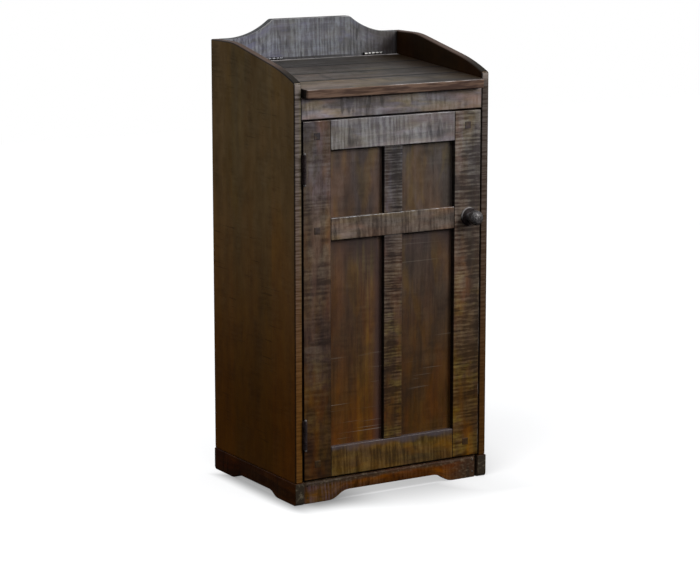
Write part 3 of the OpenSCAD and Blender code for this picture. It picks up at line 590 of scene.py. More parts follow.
side_low, side_high = corners_of("right_side_panel")
side_level = 0.076
side_slope = math.radians(11.5)
side_bend_r = 0.25
side_nose = 0.105
side_nose_r = 0.52
side_corner_r = 0.005
side_ease = 0.003
side_shaped_above = 0.6
rebate_depth = side_high[1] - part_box("back_panel")[0][1]
rebate_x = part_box("back_panel")[1][0]
rebate_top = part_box("back_panel")[1][2] + 0.001
rebate_step = 0.0001
squeeze_from = 0.3
side_board_joints = (-0.066, 0.116)


def side_top(y):
    """Height of a side panel's top edge: level at the back, then an arc down to the slope,
    a straight slope, and an arc of larger radius at the front that steepens it."""
    y = y - side_low[1]
    bend_y = side_high[1] - side_low[1] - side_level
    bend_end = bend_y - side_bend_r * math.sin(side_slope)
    bend_z = side_high[2] - side_bend_r
    slope_z = bend_z + side_bend_r * math.cos(side_slope)
    nose_z = slope_z - (bend_end - side_nose) * math.tan(side_slope)
    centre = (side_nose + side_nose_r * math.sin(side_slope), nose_z - side_nose_r * math.cos(side_slope))
    bend = bend_z + np.sqrt(np.maximum(side_bend_r ** 2 - np.maximum(bend_y - y, 0) ** 2, 0))
    straight = slope_z - (bend_end - y) * math.tan(side_slope)
    nose = centre[1] + np.sqrt(side_nose_r ** 2 - (centre[0] - np.clip(y, 0, None)) ** 2)
    return np.where(y > bend_end, bend, np.where(y > side_nose, straight, nose))


def rebated(points, start, back, inside=True):
    """Cuts the rebate for the back panel. Points under its top that lie behind `start` are
    drawn forward, evenly more towards the back, so that the back face lands at the rebate's
    front."""
    inside = inside & (points[:, 1] > start) & (points[:, 2] < rebate_top)
    points[inside, 1] = start + (points[inside, 1] - start) * (1 - rebate_depth / (back - start))
    return points


def shaped_side(points):
    """A right side panel: the back edge inside the rebate is drawn forward, the top front
    corner is rounded, and heights over `side_shaped_above` are drawn in to the top edge."""
    start = side_low[1] + squeeze_from * (side_high[1] - side_low[1])
    points = rebated(points, start, side_high[1], points[:, 0] < rebate_x)
    points = rounded_corner(points, (Y, Z), (side_low[1], side_high[2]), (1, -1), side_corner_r)
    share = np.clip((points[:, 2] - side_shaped_above) / (side_high[2] - side_shaped_above), 0, None)
    points[:, 2] += share * (side_top(points[:, 1]) - side_high[2])
    return points


def side_tint(tree, place, own, colour):
    """The middle board of a side panel is greener than the two beside it, and fine cracks
    run across them all. The inner face is painted almost black as shade, and the top edge is
    dark at the front and dull pink behind. The front edge is pale at the tip, worn and with a
    painted highlight, grey-tan below it, partly a painted sheen, and orange-brown at the foot,
    striped across."""
    axes = axes_of(tree, place)
    front_joint, back_joint = side_board_joints
    middle = times(tree, fade(tree, axes["Y"], front_joint - 0.001, front_joint + 0.001),
                   fade(tree, axes["Y"], back_joint + 0.001, back_joint - 0.001))
    boards = blend(tree, middle, (1.05, 1.01, 0.96, 1), (0.93, 0.97, 1.0, 1))
    colour = blend(tree, 1.0, colour, boards, "MULTIPLY")
    cracks = fade(tree, cloud(tree, place, (3, 13, 300), 1), 0.66, 0.73)
    cracked = fade(tree, cloud(tree, place, (4, 9, 9), 1), 0.46, 0.58, 0.0, 0.5)
    colour = blend(tree, times(tree, cracks, cracked), colour, scaled_tone(tree, colour, 0.3))
    from_middle = maths(tree, "ABSOLUTE", axes["X"])
    # Painted shade: the inner face is darkened almost to black
    inside = fade(tree, from_middle, side_low[0] + 0.0012, side_low[0] + 0.0004)
    colour = blend(tree, inside, colour, tinted(tree, colour, (0.115, 0.08, 0.05)))

    stripes = fade(tree, cloud(tree, place, (12, 12, 190), 2, 0.6), 0.4, 0.6)
    edge_head = blend(tree, stripes, (0.047, 0.038, 0.034, 1), (0.147, 0.125, 0.12, 1))
    edge_foot = blend(tree, stripes, (0.076, 0.03, 0.005, 1), (0.124, 0.053, 0.011, 1))
    edge = blend(tree, fade(tree, axes["Z"], 0.15, 0.9), edge_foot, edge_head)
    # Of the left panel's edge the inner part is more olive, a faint painted highlight; the right
    # panel's is painted darker as shade
    olive = times(tree, fade(tree, axes["X"], 0.009 - side_high[0], 0.016 - side_high[0]),
                  fade(tree, axes["X"], 0.1, 0))
    edge = blend(tree, olive, edge, tinted(tree, edge, (1.04, 1.06, 0.78)))
    edge = blend(tree, fade(tree, axes["X"], 0.1, 0.2), edge, scaled_tone(tree, edge, 0.5))
    tip = side_top(side_low[1])
    # The tip of the front edge is worn pale, with a painted highlight
    worn_and_highlit_tip = fade(tree, axes["Z"], tip - 0.028, tip - 0.004, 0.0, 0.6)
    edge = blend(tree, worn_and_highlit_tip, edge, (0.25, 0.215, 0.195, 1))
    on_edge = fade(tree, axes["Y"], side_low[1] + 0.0022, side_low[1] + 0.0006)
    colour = blend(tree, times(tree, on_edge, 0.92), colour, edge)
    backward = fade(tree, axes["Y"], -0.14, -0.04)
    top_edge = blend(tree, backward, (0.012, 0.009, 0.006, 1), (0.07, 0.045, 0.034, 1))
    return blend(tree, facing(tree, "Z", 0.2, 0.7), colour, top_edge)


side_wood = stained_wood(
    "side panel wood", (0.082, 0.028, 0.0011), (0.156, 0.098, 0.0415), (0.5, 0.45, 0.4),
    figure=0.25, warm_tint=(1.25, 0.92, 0.55), cool_gain=1.2, pitch=0.007, worn=0.6, groove=0.3,
    saw_bump=0.04, warm=0.4, olive=0.3, cool=0.2, deep=0.1, patch=0.15, dark=0.36, mottle=0.15,
    wear=0.8, seam=0.85, rough=0.45, gloss=0.07, extra=side_tint,
)
corner_parts = (0.3, 0.6, 1)
side_places = {
    X: [rebate_x - rebate_step, rebate_x + rebate_step],
    Y: [side_low[1] + side_corner_r * part for part in corner_parts],
    Z: [rebate_top - rebate_step, rebate_top + rebate_step]
    + [side_high[2] - side_corner_r * part for part in corner_parts],
}
# The dark line along each panel's inner front arris is painted shade of the door gap
for name, seed, mirrored in (("left", 1, True), ("right", 2, False)):
    board(f"{name}_side", side_low, side_high, Z, seed, "cabinet", side_wood,
          [f"{name}_side_panel"], ease=side_ease, extra=side_places, shape=shaped_side,
          worn=[(FRONT, TOP)], joints=[(RIGHT, BACK), (RIGHT, TOP), (RIGHT, FRONT), (LEFT, FRONT)],
          reach=0.003, mirrored=mirrored)

# Back, floor and cleats: plain boards and blocks of the same wood inside the carcass, glued
# and nailed. The solids of the frame have their shapes and only get the wood.
inner_wood, cross_wood, deep_wood = (
    stained_wood(name, (0.05, 0.026, 0.012), (0.055, 0.035, 0.02), (0.12, 0.09, 0.06), groove=0.2,
                 saw_bump=0.04, worn=0.6, warm=0.4, cool=0.2, patch=0.15, dark=0.4, rough=0.5, gloss=0.25,
                 turn=turn)
    for name, turn in (
        ("inner wood, upright", (0, math.radians(90), 0)),
        ("inner wood, across", (0, 0, 0)),
        ("inner wood, front to back", (0, 0, math.radians(-90))),
    )
)


def refinish(paint, *names):
    """Gives nodes of the frame a better material, in their own slots."""
    for name in names:
        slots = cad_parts[name].material_slots
        for place in slots:
            place.material = paint
        if not slots:
            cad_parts[name].data.materials.append(paint)


refinish(inner_wood, "back_panel", "front_left_block", "front_right_block", "back_left_block",
         "back_right_block")
refinish(cross_wood, "floor_panel", "back_plinth")
refinish(deep_wood, "left_lid_cleat", "right_lid_cleat", "left_lid_batten", "right_lid_batten")

# Crest board: stands between the side panels behind the lid. It is sawn wood with a level
# top between two coves; its lower back arris has the rebate for the back panel.
crest_low, crest_high = corners_of("crest_board")
crest_cove_r = 0.175
crest_corner_r = 0.009
crest_top_half = 0.104
crest_rise = crest_high[2] - side_high[2]
crest_face_t = 0.004


def crest_top(x):
    """Height of the crest board's top: level, a small arc, then a hollow arc down to the
    shoulder. The small arc touches the level top and, from outside, the hollow one."""
    x = np.abs(x)
    cove_x = crest_top_half + math.sqrt(2 * crest_cove_r * crest_rise - crest_rise ** 2)
    cove_z = side_high[2] + crest_cove_r
    centre_z = crest_high[2] - crest_corner_r
    reach = crest_cove_r + crest_corner_r
    centre_x = cove_x - math.sqrt(reach ** 2 - (cove_z - centre_z) ** 2)
    touch_x = cove_x + (centre_x - cove_x) * crest_cove_r / reach
    corner = centre_z + np.sqrt(np.maximum(crest_corner_r ** 2 - np.clip(x - centre_x, 0, None) ** 2, 0))
    cove = cove_z - np.sqrt(np.maximum(crest_cove_r ** 2 - np.clip(cove_x - x, 0, None) ** 2, 0))
    return np.where(x < touch_x, corner, np.where(x < cove_x, cove, side_high[2]))


def shaped_crest(points):
    """The crest board: its lower back arris drawn forward into the rebate, and its heights
    drawn in to the shaped top."""
    share = np.clip((points[:, 2] - rebate_top) / (crest_high[2] - rebate_top), 0, None)
    points = rebated(points, crest_low[1] + crest_face_t, crest_high[1])
    points[:, 2] += share * (crest_top(points[:, 0]) - crest_high[2])
    return points


def crest_tint(tree, place, own, colour):
    """The crest board has bluish smudges. It is paler at its left end, and browner at its back;
    its right end is a dark brown, painted shadow of the right side panel, and its top and coves
    are painted darker as shade. A thin dark line along the lid is painted shade of the gap, with
    some grime."""
    smudge = fade(tree, cloud(tree, own, (14, 40, 10), 3, 0.7), 0.52, 0.68)
    colour = blend(tree, times(tree, smudge, 0.5), colour, (0.07, 0.068, 0.115, 1))
    axes = axes_of(tree, place)
    right, left = fade(tree, axes["X"], 0.1, 0.22, 0.0, 0.7), fade(tree, axes["X"], -0.05, -0.2)
    # Painted shadow of the right side panel on the right end
    colour = blend(tree, right, colour, (0.026, 0.017, 0.012, 1))
    colour = blend(tree, left, colour, tinted(tree, colour, (1.4, 1.41, 1.48)))
    over_lid = minus(tree, axes["Z"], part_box("back_lid_board")[1][2])
    # A thin dark line along the lid: painted shade of the gap, with some grime
    gap_shade_and_dirt = times(tree, fade(tree, over_lid, 0.0062, 0.0036), fade(tree, over_lid, -0.002, -0.001),
                 fade(tree, axes["X"], 0.15, 0.06, 0.2, 0.92), facing(tree, "Y", -0.4, -0.8))
    colour = blend(tree, gap_shade_and_dirt, colour, (0.008, 0.006, 0.007, 1))
    colour = blend(tree, facing(tree, "Y"), colour, tinted(tree, colour, (0.5, 0.34, 0.18)))
    # Painted shade: the top and coves are darkened
    return blend(tree, facing(tree, "Z", 0.2, 0.55), colour, scaled_tone(tree, colour, 0.1))


# The crest's bluish grey is partly a painted sheen
crest_mean = (0.104, 0.1, 0.125)
crest_wood = stained_wood(
    "crest board wood", crest_mean, crest_mean, (0.45, 0.44, 0.44),
    warm_tint=(1.1, 0.95, 0.85), cool_gain=1.7, pitch=0.0052, slant=0.02, worn=0.36, groove=0.6,
    saw_bump=0.14, warm=0.3, olive=0.1, cool=0.6, patch=0.1, dark=0.42, mottle=0.2, wear=0.8,
    seam=0.8, rough=0.42, gloss=0.35, extra=crest_tint,
)
# The broad dark seam at its front right end is partly painted shadow of the right side panel
board("crest", crest_low, crest_high, X, 3, "cabinet", crest_wood, ["crest_board"],
      ease=0.0015, step=0.005, extra={Z: [rebate_top - rebate_step, rebate_top + rebate_step]},
      shape=shaped_crest, worn=[(FRONT, TOP)], joints=[(FRONT, RIGHT)], reach=0.006)

# Apron rail: a sawn rail that closes the front under the lid, glued between the side
# panels. Its top follows the fall of the lid.
apron_low, apron_high = corners_of("apron_rail")
lid_slope = math.radians(4.35)


def sloped_apron(points):
    """The apron rail, its top dropped to the front by the fall of the lid."""
    share = (points[:, 2] - apron_low[2]) / (apron_high[2] - apron_low[2])
    points[:, 2] -= share * (apron_high[1] - points[:, 1]) * math.tan(lid_slope)
    return points


def apron_tint(tree, place, own, colour):
    """The apron rail is paler at its left end."""
    left = fade(tree, axes_of(tree, place)["X"], 0.05, -0.15)
    return blend(tree, left, scaled_tone(tree, colour, 0.88), scaled_tone(tree, colour, 1.3))


# The apron's pale purple grey is partly a painted sheen
apron_mean = (0.163, 0.137, 0.147)
apron_wood = stained_wood(
    "apron wood", apron_mean, apron_mean, (0.4, 0.35, 0.3),
    warm_tint=(1.4, 0.9, 0.55), cool_gain=1.35, pitch=0.0066, worn=0.53, groove=0.42, saw_bump=0.12,
    warm=0.75, cool=0.4, patch=0.05, mottle=0.3, dark=0.6, wear=0.5, seam=0.8, gloss=0.3,
    extra=apron_tint,
)
# The dark lines along its top and foot are painted shade of the gaps under the lid and above the door
board("apron", apron_low, apron_high, X, 4, "cabinet", apron_wood, ["apron_rail"],
      shape=sloped_apron, joints=[(FRONT, LEFT), (FRONT, RIGHT), (FRONT, FOOT), (FRONT, TOP)])

# Plinth: two side boards with low arches, their bottom corners rounded, and a front board
# nailed between them whose top and end arrises are rounded over.
plinth_low, plinth_high = corners_of("right_plinth")
front_low, front_high = corners_of("front_plinth")
front_half = front_high[0]
plinth_corner_r = 0.008
# How far from a corner the points are that round it
corner_places = [0.001, 0.0025, 0.0045, 0.006, plinth_corner_r]


def at_both_ends(low, high):
    """The places for points round the corners at both ends of an edge."""
    return [low + place for place in corner_places] + [high - place for place in corner_places]


def ogee(distance, run, rise):
    """Height of an ogee that climbs `rise` over `run`: two equal arcs, level at both ends."""
    radius = (run ** 2 + rise ** 2) / (4 * rise)
    t = np.clip(distance, 0, run)
    lower = radius - np.sqrt(radius ** 2 - np.minimum(t, run / 2) ** 2)
    upper = rise - radius + np.sqrt(radius ** 2 - np.minimum(run - t, run / 2) ** 2)
    return np.where(t < run / 2, lower, upper)


def side_arch(y):
    """Height of a side plinth's underside: feet at both ends, an ogee beside each."""
    front_foot, back_foot, run, rise = 0.08, 0.085, 0.042, 0.0125
    front = ogee(y - plinth_low[1] - front_foot, run, rise)
    return np.minimum(front, ogee(plinth_high[1] - back_foot - y, run, rise))


def front_arch(x):
    """Height of the front plinth's underside: a foot at each end, an ogee beside it."""
    foot, run, rise = 0.168, 0.056, 0.0195
    return ogee(foot - np.abs(x), run, rise)


def arched(points, rise):
    """Raises the underside by the arch, less and less towards the top."""
    points[:, 2] += rise * (1 - points[:, 2] / plinth_high[2])
    return points


def plinth_tint(tree, place, own, colour):
    """The front board's rounded top, partly a painted sheen, and its right end and the ends of
    the side boards are a dark purple grey. The front board's left end is olive."""
    axes = axes_of(tree, place)
    side = fade(tree, maths(tree, "ABSOLUTE", axes["X"]), front_half + 0.0005, front_half + 0.0015)
    ragged = times(tree, cloud(tree, place, (30, 30, 60), 2), 0.012)
    top = fade(tree, plus(tree, axes["Z"], ragged), 0.042, 0.05)
    right = fade(tree, minus(tree, axes["X"], ragged), 0.13, 0.2)
    left = times(tree, fade(tree, axes["X"], -0.06, -0.17), minus(tree, 1.0, side))
    colour = blend(tree, left, colour, tinted(tree, colour, (0.97, 1.45, 4.0)))
    # The grey of the rounded top is partly a painted sheen
    front_grey = times(tree, largest(tree, top, right), minus(tree, 0.75, side))
    end_grey = times(tree, facing(tree, "Y", -0.5, -0.85), side)
    specks = fade(tree, cloud(tree, place, (90, 90, 160), 3, 0.7), 0.5, 0.7)
    dim = blend(tree, specks, (0.027, 0.02, 0.0135, 1), (0.104, 0.086, 0.058, 1))
    return blend(tree, largest(tree, front_grey, end_grey), colour, dim)


plinth_wood, side_plinth_wood = (
    stained_wood(name, mean, mean, (0.22, 0.18, 0.14), warm_tint=(1.6, 0.8, 0.4), cool_gain=1.3,
                 pitch=0.0045, slant=0.04, worn=0.45, groove=groove, saw_bump=0.16, warm=0.55, cool=0.45,
                 patch=0.05, dark=0.36, mottle=0.3, wear=wear, seam=0.8, gloss=0.06, extra=plinth_tint)
    for name, mean, groove, wear in (
        ("front plinth wood", (0.107, 0.03, 0.0001), 0.5, 0.3),
        ("side plinth wood", (0.04, 0.011, 0.001), 0.2, 0.12),
    )
)


def shaped_side_plinth(points):
    """A side plinth: its bottom corners rounded, then the arch."""
    rounded_corner(points, (Y, Z), (plinth_low[1], plinth_low[2]), (1, 1), plinth_corner_r)
    rounded_corner(points, (Y, Z), (plinth_high[1], plinth_low[2]), (-1, 1), plinth_corner_r)
    return arched(points, side_arch(points[:, 1]))


def shaped_front_plinth(points):
    """The front plinth: top and end arrises rounded over, then the arch."""
    rounded_corner(points, (Y, Z), (front_low[1], front_high[2]), (1, -1), plinth_corner_r)
    rounded_corner(points, (X, Y), (front_low[0], front_low[1]), (1, 1), plinth_corner_r)
    rounded_corner(points, (X, Y), (front_high[0], front_low[1]), (-1, 1), plinth_corner_r)
    return arched(points, front_arch(points[:, 0]))


for name, seed, mirrored in (("left", 5, True), ("right", 6, False)):
    board(f"{name}_plinth_board", plinth_low, plinth_high, Y, seed, "cabinet",
          side_plinth_wood, [f"{name}_plinth"], ease=0.0015, step=0.006, extra={
              Y: at_both_ends(plinth_low[1], plinth_high[1]),
              Z: [plinth_low[2] + place for place in corner_places],
          }, shape=shaped_side_plinth, mirrored=mirrored)
board("front_plinth_board", front_low, front_high, X, 7, "cabinet", plinth_wood,
      ["front_plinth"], step=0.006, extra={
          X: at_both_ends(front_low[0], front_high[0]),
          Y: [front_low[1] + place for place in corner_places],
          Z: [front_high[2] - place for place in corner_places],
      }, shape=shaped_front_plinth, joints=[(FRONT, LEFT), (FRONT, RIGHT)], reach=0.003)

# Lid: four tongued boards that fall to the front, joined at small V grooves, with the front
# corners rounded.
lid_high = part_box("back_lid_board")[1]
lid_half = lid_high[0]
lid_back = (lid_high[1], lid_high[2])
lid_t = 0.02
lid_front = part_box("front_lid_board")[0][1]
lid_length = (lid_back[0] - lid_front) / math.cos(lid_slope)
lid_joints = [0, 0.1025, 0.1935, 0.2755, lid_length]
lid_corner_r = 0.009
lid_front_reach, lid_back_reach, lid_joint_reach = 0.004, 0.03, 0.006


def on_lid(points):
    """Moves points from the lid's own measures, (x, distance from the back edge, height
    over the top), to their place: down the fall of the lid, and no further back than its
    upright back edge."""
    x, u, w = points.T
    y = lid_back[0] - u * math.cos(lid_slope) - w * math.sin(lid_slope)
    z = lid_back[1] - u * math.sin(lid_slope) + w * math.cos(lid_slope)
    return np.stack([x, np.minimum(y, lid_back[0]), z], 1)


def lid_tint(tree, place, own, colour):
    """The lid has a painted sheen at its front, most at the left, and painted shade towards
    its back. Along its right end it is dark brown, stain with a painted shadow of the side
    panel. Its front edge is golden, its back arris has a painted highlight, and the edge at
    its left end is painted almost black as shade."""
    axes = axes_of(tree, place)
    # Painted sheen towards the front, most at the left, and painted shade towards the back
    forward = fade(tree, axes["Y"], lid_back[0] - 0.03, lid_front + 0.08)
    left = fade(tree, axes["X"], 0.2, -0.2)
    pale = times(tree, forward, plus(tree, times(tree, left, 0.64), 0.36))
    back = tinted(tree, colour, (0.33, 0.36, 0.38))
    colour = blend(tree, pale, back, scaled_tone(tree, colour, 1.6))
    # Along the right end: dark stain with a painted shadow of the side panel
    right = times(tree, fade(tree, axes["X"], 0.06, 0.22), minus(tree, 0.96, times(tree, forward, 0.25)))
    colour = blend(tree, right, colour, (0.015, 0.008, 0.003, 1))
    # Painted highlight along the back arris
    rim = node(tree, "Attribute", attribute_name="rim").outputs["Fac"]
    rubbed = times(tree, fade(tree, rim, 0.55, 0.8), fade(tree, axes["X"], 0.12, 0.0, 0.3, 0.8),
                   fade(tree, axes["Y"], lid_back[0] - 0.1, lid_back[0] - 0.05))
    colour = blend(tree, rubbed, colour, (0.2, 0.19, 0.185, 1))
    streaks = fade(tree, cloud(tree, place, (14, 30, 170), 3, 0.6), 0.4, 0.62)
    golden = blend(tree, streaks, (0.05, 0.027, 0.02, 1), (0.142, 0.087, 0.061, 1))
    colour = blend(tree, times(tree, facing(tree, "Y", -0.5, -0.85), 0.9), colour, golden)
    # Painted shade: the left end face is darkened almost to black
    return blend(tree, facing(tree, "X", -0.5, -0.9), colour, scaled_tone(tree, colour, 0.15))


lid_mean = (0.058, 0.046, 0.038)
lid_wood = stained_wood(
    "lid wood", lid_mean, lid_mean, (0.5, 0.46, 0.45),
    warm_tint=(1.3, 0.95, 0.65), cool_gain=1.2, pitch=0.012, worn=0.56, groove=0.25, saw_bump=0.05,
    warm=0.35, cool=0.3, patch=0.12, dark=0.35, mottle=0.4, wear=0.75, seam=0.95, rough=0.42,
    gloss=0.15, extra=lid_tint,
)


def shaped_lid(points):
    """A board of the lid in its place. On the front board the outer corners are rounded."""
    rounded_corner(points, (X, Y), (-lid_half, lid_length), (1, -1), lid_corner_r)
    rounded_corner(points, (X, Y), (lid_half, lid_length), (-1, -1), lid_corner_r)
    return on_lid(points)


# The lid's own measures run from its back to its front, so FRONT and BACK change places.
# They are left-handed too, so the faces are turned over.
for number, name in enumerate(["back", "second", "third", "front"]):
    near, far = lid_joints[number], lid_joints[number + 1]
    corners = {
        X: at_both_ends(-lid_half, lid_half),
        Y: [far - place for place in corner_places],
    }
    low, high = np.array((-lid_half, near, -lid_t)), np.array((lid_half, far, 0))
    points, faces, plain = board_skin(low, high, ease=0.0015, extra=corners if name == "front" else None)
    # The front arris is rubbed pale, partly as a painted highlight, and less so between its left
    # end and its middle
    front_wear_and_highlight = arris_field(plain, low, high, [(TOP, BACK)] * (name == "front"), lid_front_reach)
    front_wear_and_highlight *= np.interp(plain[:, 0], [-0.235, -0.2, -0.03, 0.02], [1, 0.7, 0.7, 1])
    # The back arris is rubbed pale, partly as a painted highlight
    back_wear_and_highlight = arris_field(plain, low, high, [(TOP, FRONT)] * (name == "back"), lid_back_reach)
    joints = [(TOP, FRONT)] * (name != "back") + [(TOP, BACK)] * (name != "front")
    fields = {
        "board": points + (8 + number) * seed_step,
        "rim": np.maximum(back_wear_and_highlight, front_wear_and_highlight),
        "seam": arris_field(plain, low, high, joints, lid_joint_reach),
    }
    solid(f"{name}_board_of_lid", shaped_lid(points), faces[:, ::-1], "lid", lid_wood,
          [f"{name}_lid_board"], fields)

# Door frame: stiles the full height, rails tenoned and pegged between them and muntins
# between the rails, all rough sawn on the face so that the saw lines cross each board.
frame_x = -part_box("left_stile")[1][0]


def recess_tint(tree, place, own, colour):
    """The lower half of the stiles and muntins shows the yellow of the wood in patches, less
    on the left. The sides of the frame round the panels are painted almost black as shade."""
    axes = axes_of(tree, place)
    golden = times(tree, fade(tree, cloud(tree, place, (14, 14, 30), 3, 0.65), 0.48, 0.6),
                   fade(tree, axes["Z"], 0.6, 0.25, 0.0, 0.9),
                   fade(tree, axes["X"], -0.2, 0.05, 0.35, 1.0))
    colour = blend(tree, golden, colour, tinted(tree, colour, (1.28, 1.45, 0.85)))
    # Painted shade on the sides of the frame
    sides = largest(tree, facing(tree, "X", 0.5, 0.8), facing(tree, "X", -0.5, -0.8))
    return blend(tree, sides, colour, scaled_tone(tree, colour, 0.15))


def left_stile_tint(tree, place, own, colour):
    """The left stile is paler and warmer about its middle, and a blue grey under that."""
    height = axes_of(tree, place)["Z"]
    for level, tint in ((0.54, (1.5, 1.38, 1.03)), (0.4, (1.04, 1.1, 1.35))):
        away = maths(tree, "ABSOLUTE", minus(tree, height, level))
        colour = blend(tree, fade(tree, away, 0.2, 0.06), colour, tinted(tree, colour, tint))
    return recess_tint(tree, place, own, colour)


def rubbed_band(tree, place, own, colour):
    """Under the top arris of the bottom rail runs an uneven band rubbed to a purple grey."""
    ragged = times(tree, cloud(tree, place, (25, 25, 40), 2), 0.03)
    band = fade(tree, plus(tree, axes_of(tree, place)["Z"], ragged), 0.123, 0.138, 0.0, 0.75)
    return blend(tree, band, colour, (0.058, 0.047, 0.055, 1))


left_stile_wood, right_stile_wood, muntin_wood = (
    stained_wood(name, foot, head, (0.4, 0.36, 0.32), warm_tint=(1.65, 0.92, 0.42), slant=0.01,
                 saw_bump=0.14, warm=0.5, patch=0.06, dark=0.5, wear=0.6, seam=0.85, gloss=0.16, **own)
    for name, foot, head, own in (
        ("left stile wood", (0.054, 0.0203, 0.0004), (0.079, 0.0595, 0.064),
         dict(pitch=0.0065, worn=0.48, groove=0.45, cool=0.5, deep=0.25, mottle=0.36,
              extra=left_stile_tint)),
        ("right stile wood", (0.078, 0.031, 0.0001), (0.113, 0.088, 0.083),
         dict(pitch=0.0052, worn=0.38, groove=0.7, cool=0.65, deep=0.3, mottle=0.26,
              extra=recess_tint)),
        ("muntin wood", (0.075, 0.031, 0.0038), (0.055, 0.047, 0.058),
         dict(pitch=0.0038, worn=0.43, groove=0.68, cool=0.62, cool_gain=2.6, deep=0.3, mottle=0.3,
              extra=recess_tint)),
    )
)
# The pale grey of the top rail is partly a painted sheen
rail_woods = {
    name: stained_wood(name + " wood", mean, mean, pale, cool_gain=1.6, slant=0.03, worn=0.4,
                       saw_bump=0.16, deep=0.3, patch=0.06, seam=0.8, gloss=0.22, **own)
    for name, mean, pale, own in (
        ("top_rail", (0.187, 0.163, 0.176), (0.6, 0.6, 0.62),
         dict(warm_tint=(1.2, 0.9, 0.7), pitch=0.0062, warm=0.35, olive=0.2, cool=0.5, groove=0.42,
              dark=0.24, mottle=0.168, wear=0.85)),
        ("middle_rail", (0.13, 0.093, 0.075), (0.6, 0.63, 0.7),
         dict(warm_tint=(1.8, 0.92, 0.35), pitch=0.006, warm=0.75, olive=0.5, cool=0.45, groove=0.55,
              dark=0.42, mottle=0.294, wear=0.95)),
        ("bottom_rail", (0.091, 0.048, 0.003), (0.13, 0.115, 0.12),
         dict(warm_tint=(1.6, 1.1, 0.35), pitch=0.0053, warm=0.7, olive=0.6, cool=0.5, groove=0.62,
              dark=0.42, mottle=0.294, wear=0.8, extra=rubbed_band)),
    )
}
low, high = corners_of("left_stile")
board("left_stile_board", low, high, Z, 12, "door", left_stile_wood, ["left_stile"],
      worn=[(FRONT, TOP)], joints=[(FRONT, RIGHT)])
low, high = corners_of("right_stile")
board("right_stile_board", low, high, Z, 13, "door", right_stile_wood, ["right_stile"],
      worn=[(FRONT, TOP), (FRONT, RIGHT)], joints=[(FRONT, LEFT)])
# A rail shows between the stiles and a muntin between the rails; their tenons don't show
for number, (name, wood) in enumerate(rail_woods.items()):
    low, high = corners_of(name)
    low[0], high[0] = -frame_x, frame_x
    board(name + "_board", low, high, X, 14 + number, "door", wood, [name],
          worn=[(FRONT, TOP)], joints=[(FRONT, LEFT), (FRONT, RIGHT), (FRONT, FOOT)])
rail_edges = {
    "upper_muntin": (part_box("middle_rail")[1][2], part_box("top_rail")[0][2]),
    "lower_muntin": (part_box("bottom_rail")[1][2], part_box("middle_rail")[0][2]),
}
for number, (name, (bottom, top)) in enumerate(rail_edges.items()):
    low, high = corners_of(name)
    low[2], high[2] = bottom, top
    board(name + "_board", low, high, Z, 17 + number, "door", muntin_wood, [name],
          joints=[(FRONT, LEFT), (FRONT, FOOT), (FRONT, TOP)])

# Door panels: thin smooth boards in the grooves of the frame, the grain upright, redder
# towards the foot, with a few pale scratches.
panels_part_at = 0.61
streaks_x = -0.072


def panel_tint(tree, place, own, colour):
    """The right panels took more stain than the left ones, most of all the lower one. On the
    lower left panel the yellow of the wood shows in streaks right of its middle. Under the
    middle rail, and beside the muntin on its left, it turns a dark purple grey."""
    axes = axes_of(tree, place)
    lower = fade(tree, axes["Z"], panels_part_at + 0.01, panels_part_at - 0.01)
    right = fade(tree, axes["X"], -0.01, 0.01)
    left_tint = blend(tree, lower, (1.07, 1.03, 1.03, 1), (1.0, 0.96, 0.88, 1))
    right_tint = blend(tree, lower, (0.95, 1, 1, 1), (0.82, 0.87, 0.92, 1))
    colour = blend(tree, 1.0, colour, blend(tree, right, left_tint, right_tint), "MULTIPLY")
    streaks = fade(tree, cloud(tree, place, (120, 1, 3), 2), 0.4, 0.62)
    off_streaks = maths(tree, "ABSOLUTE", minus(tree, axes["X"], streaks_x))
    golden = times(tree, streaks, lower, fade(tree, off_streaks, 0.036, 0.014))
    colour = blend(tree, golden, colour, tinted(tree, colour, (1.3, 1.45, 1.1)))
    under_rail = minus(tree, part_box("middle_rail")[0][2], axes["Z"])
    from_muntin = minus(tree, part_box("lower_muntin")[0][0], axes["X"])
    beside_muntin = times(tree, fade(tree, from_muntin, 0.028, 0.01), fade(tree, from_muntin, -0.01, 0))
    margin = largest(tree, fade(tree, under_rail, 0.07, 0.0, 0.0, 0.8), beside_muntin)
    margin = times(tree, margin, lower, 0.6)
    return blend(tree, margin, colour, (0.036, 0.023, 0.025, 1))


panel_wood = stained_wood(
    "panel wood", (0.065, 0.0245, 0.0015), (0.074, 0.057, 0.052), (0.22, 0.19, 0.16),
    figure=0.8, warm_tint=(1.38, 0.93, 0.5), cool_gain=1.2, pitch=0.009, worn=0.58, groove=0.3,
    saw_bump=0.04, warm=0.5, olive=0.6, cool=0.25, deep=0.1, patch=0.055, dark=0.5, mottle=0.2,
    scratch=(0.6, 0.08), gloss=0.2, turn=(0, math.radians(90), 0), extra=panel_tint,
)
refinish(panel_wood, "upper_left_panel", "upper_right_panel", "lower_left_panel", "lower_right_panel")

# Pegs: square hardwood pegs that lock the rail tenons, driven in from the front and cut off
# nearly flush, so that their end grain shows.
peg_wood = stained_wood(
    "peg end grain", (0.05, 0.024, 0.005), (0.036, 0.028, 0.03), (0.1, 0.085, 0.08), groove=0.1,
    saw_bump=0.03, worn=0.7, cool=0.2, warm=0.2, patch=0.02, dark=0.3, wear=0.3, seam=0.6,
    rough=0.5, gloss=0.2,
)
for number, name in enumerate(["top_left_peg", "middle_left_peg", "bottom_left_peg",
                               "top_right_peg", "bottom_right_peg"]):
    low, high = corners_of(name)
    board(name + "_end", low, high, Y, 20 + number, "door", peg_wood, [name],
          ease=0.001, step=0.004, joints=[(FRONT, side) for side in (LEFT, RIGHT, FOOT)])

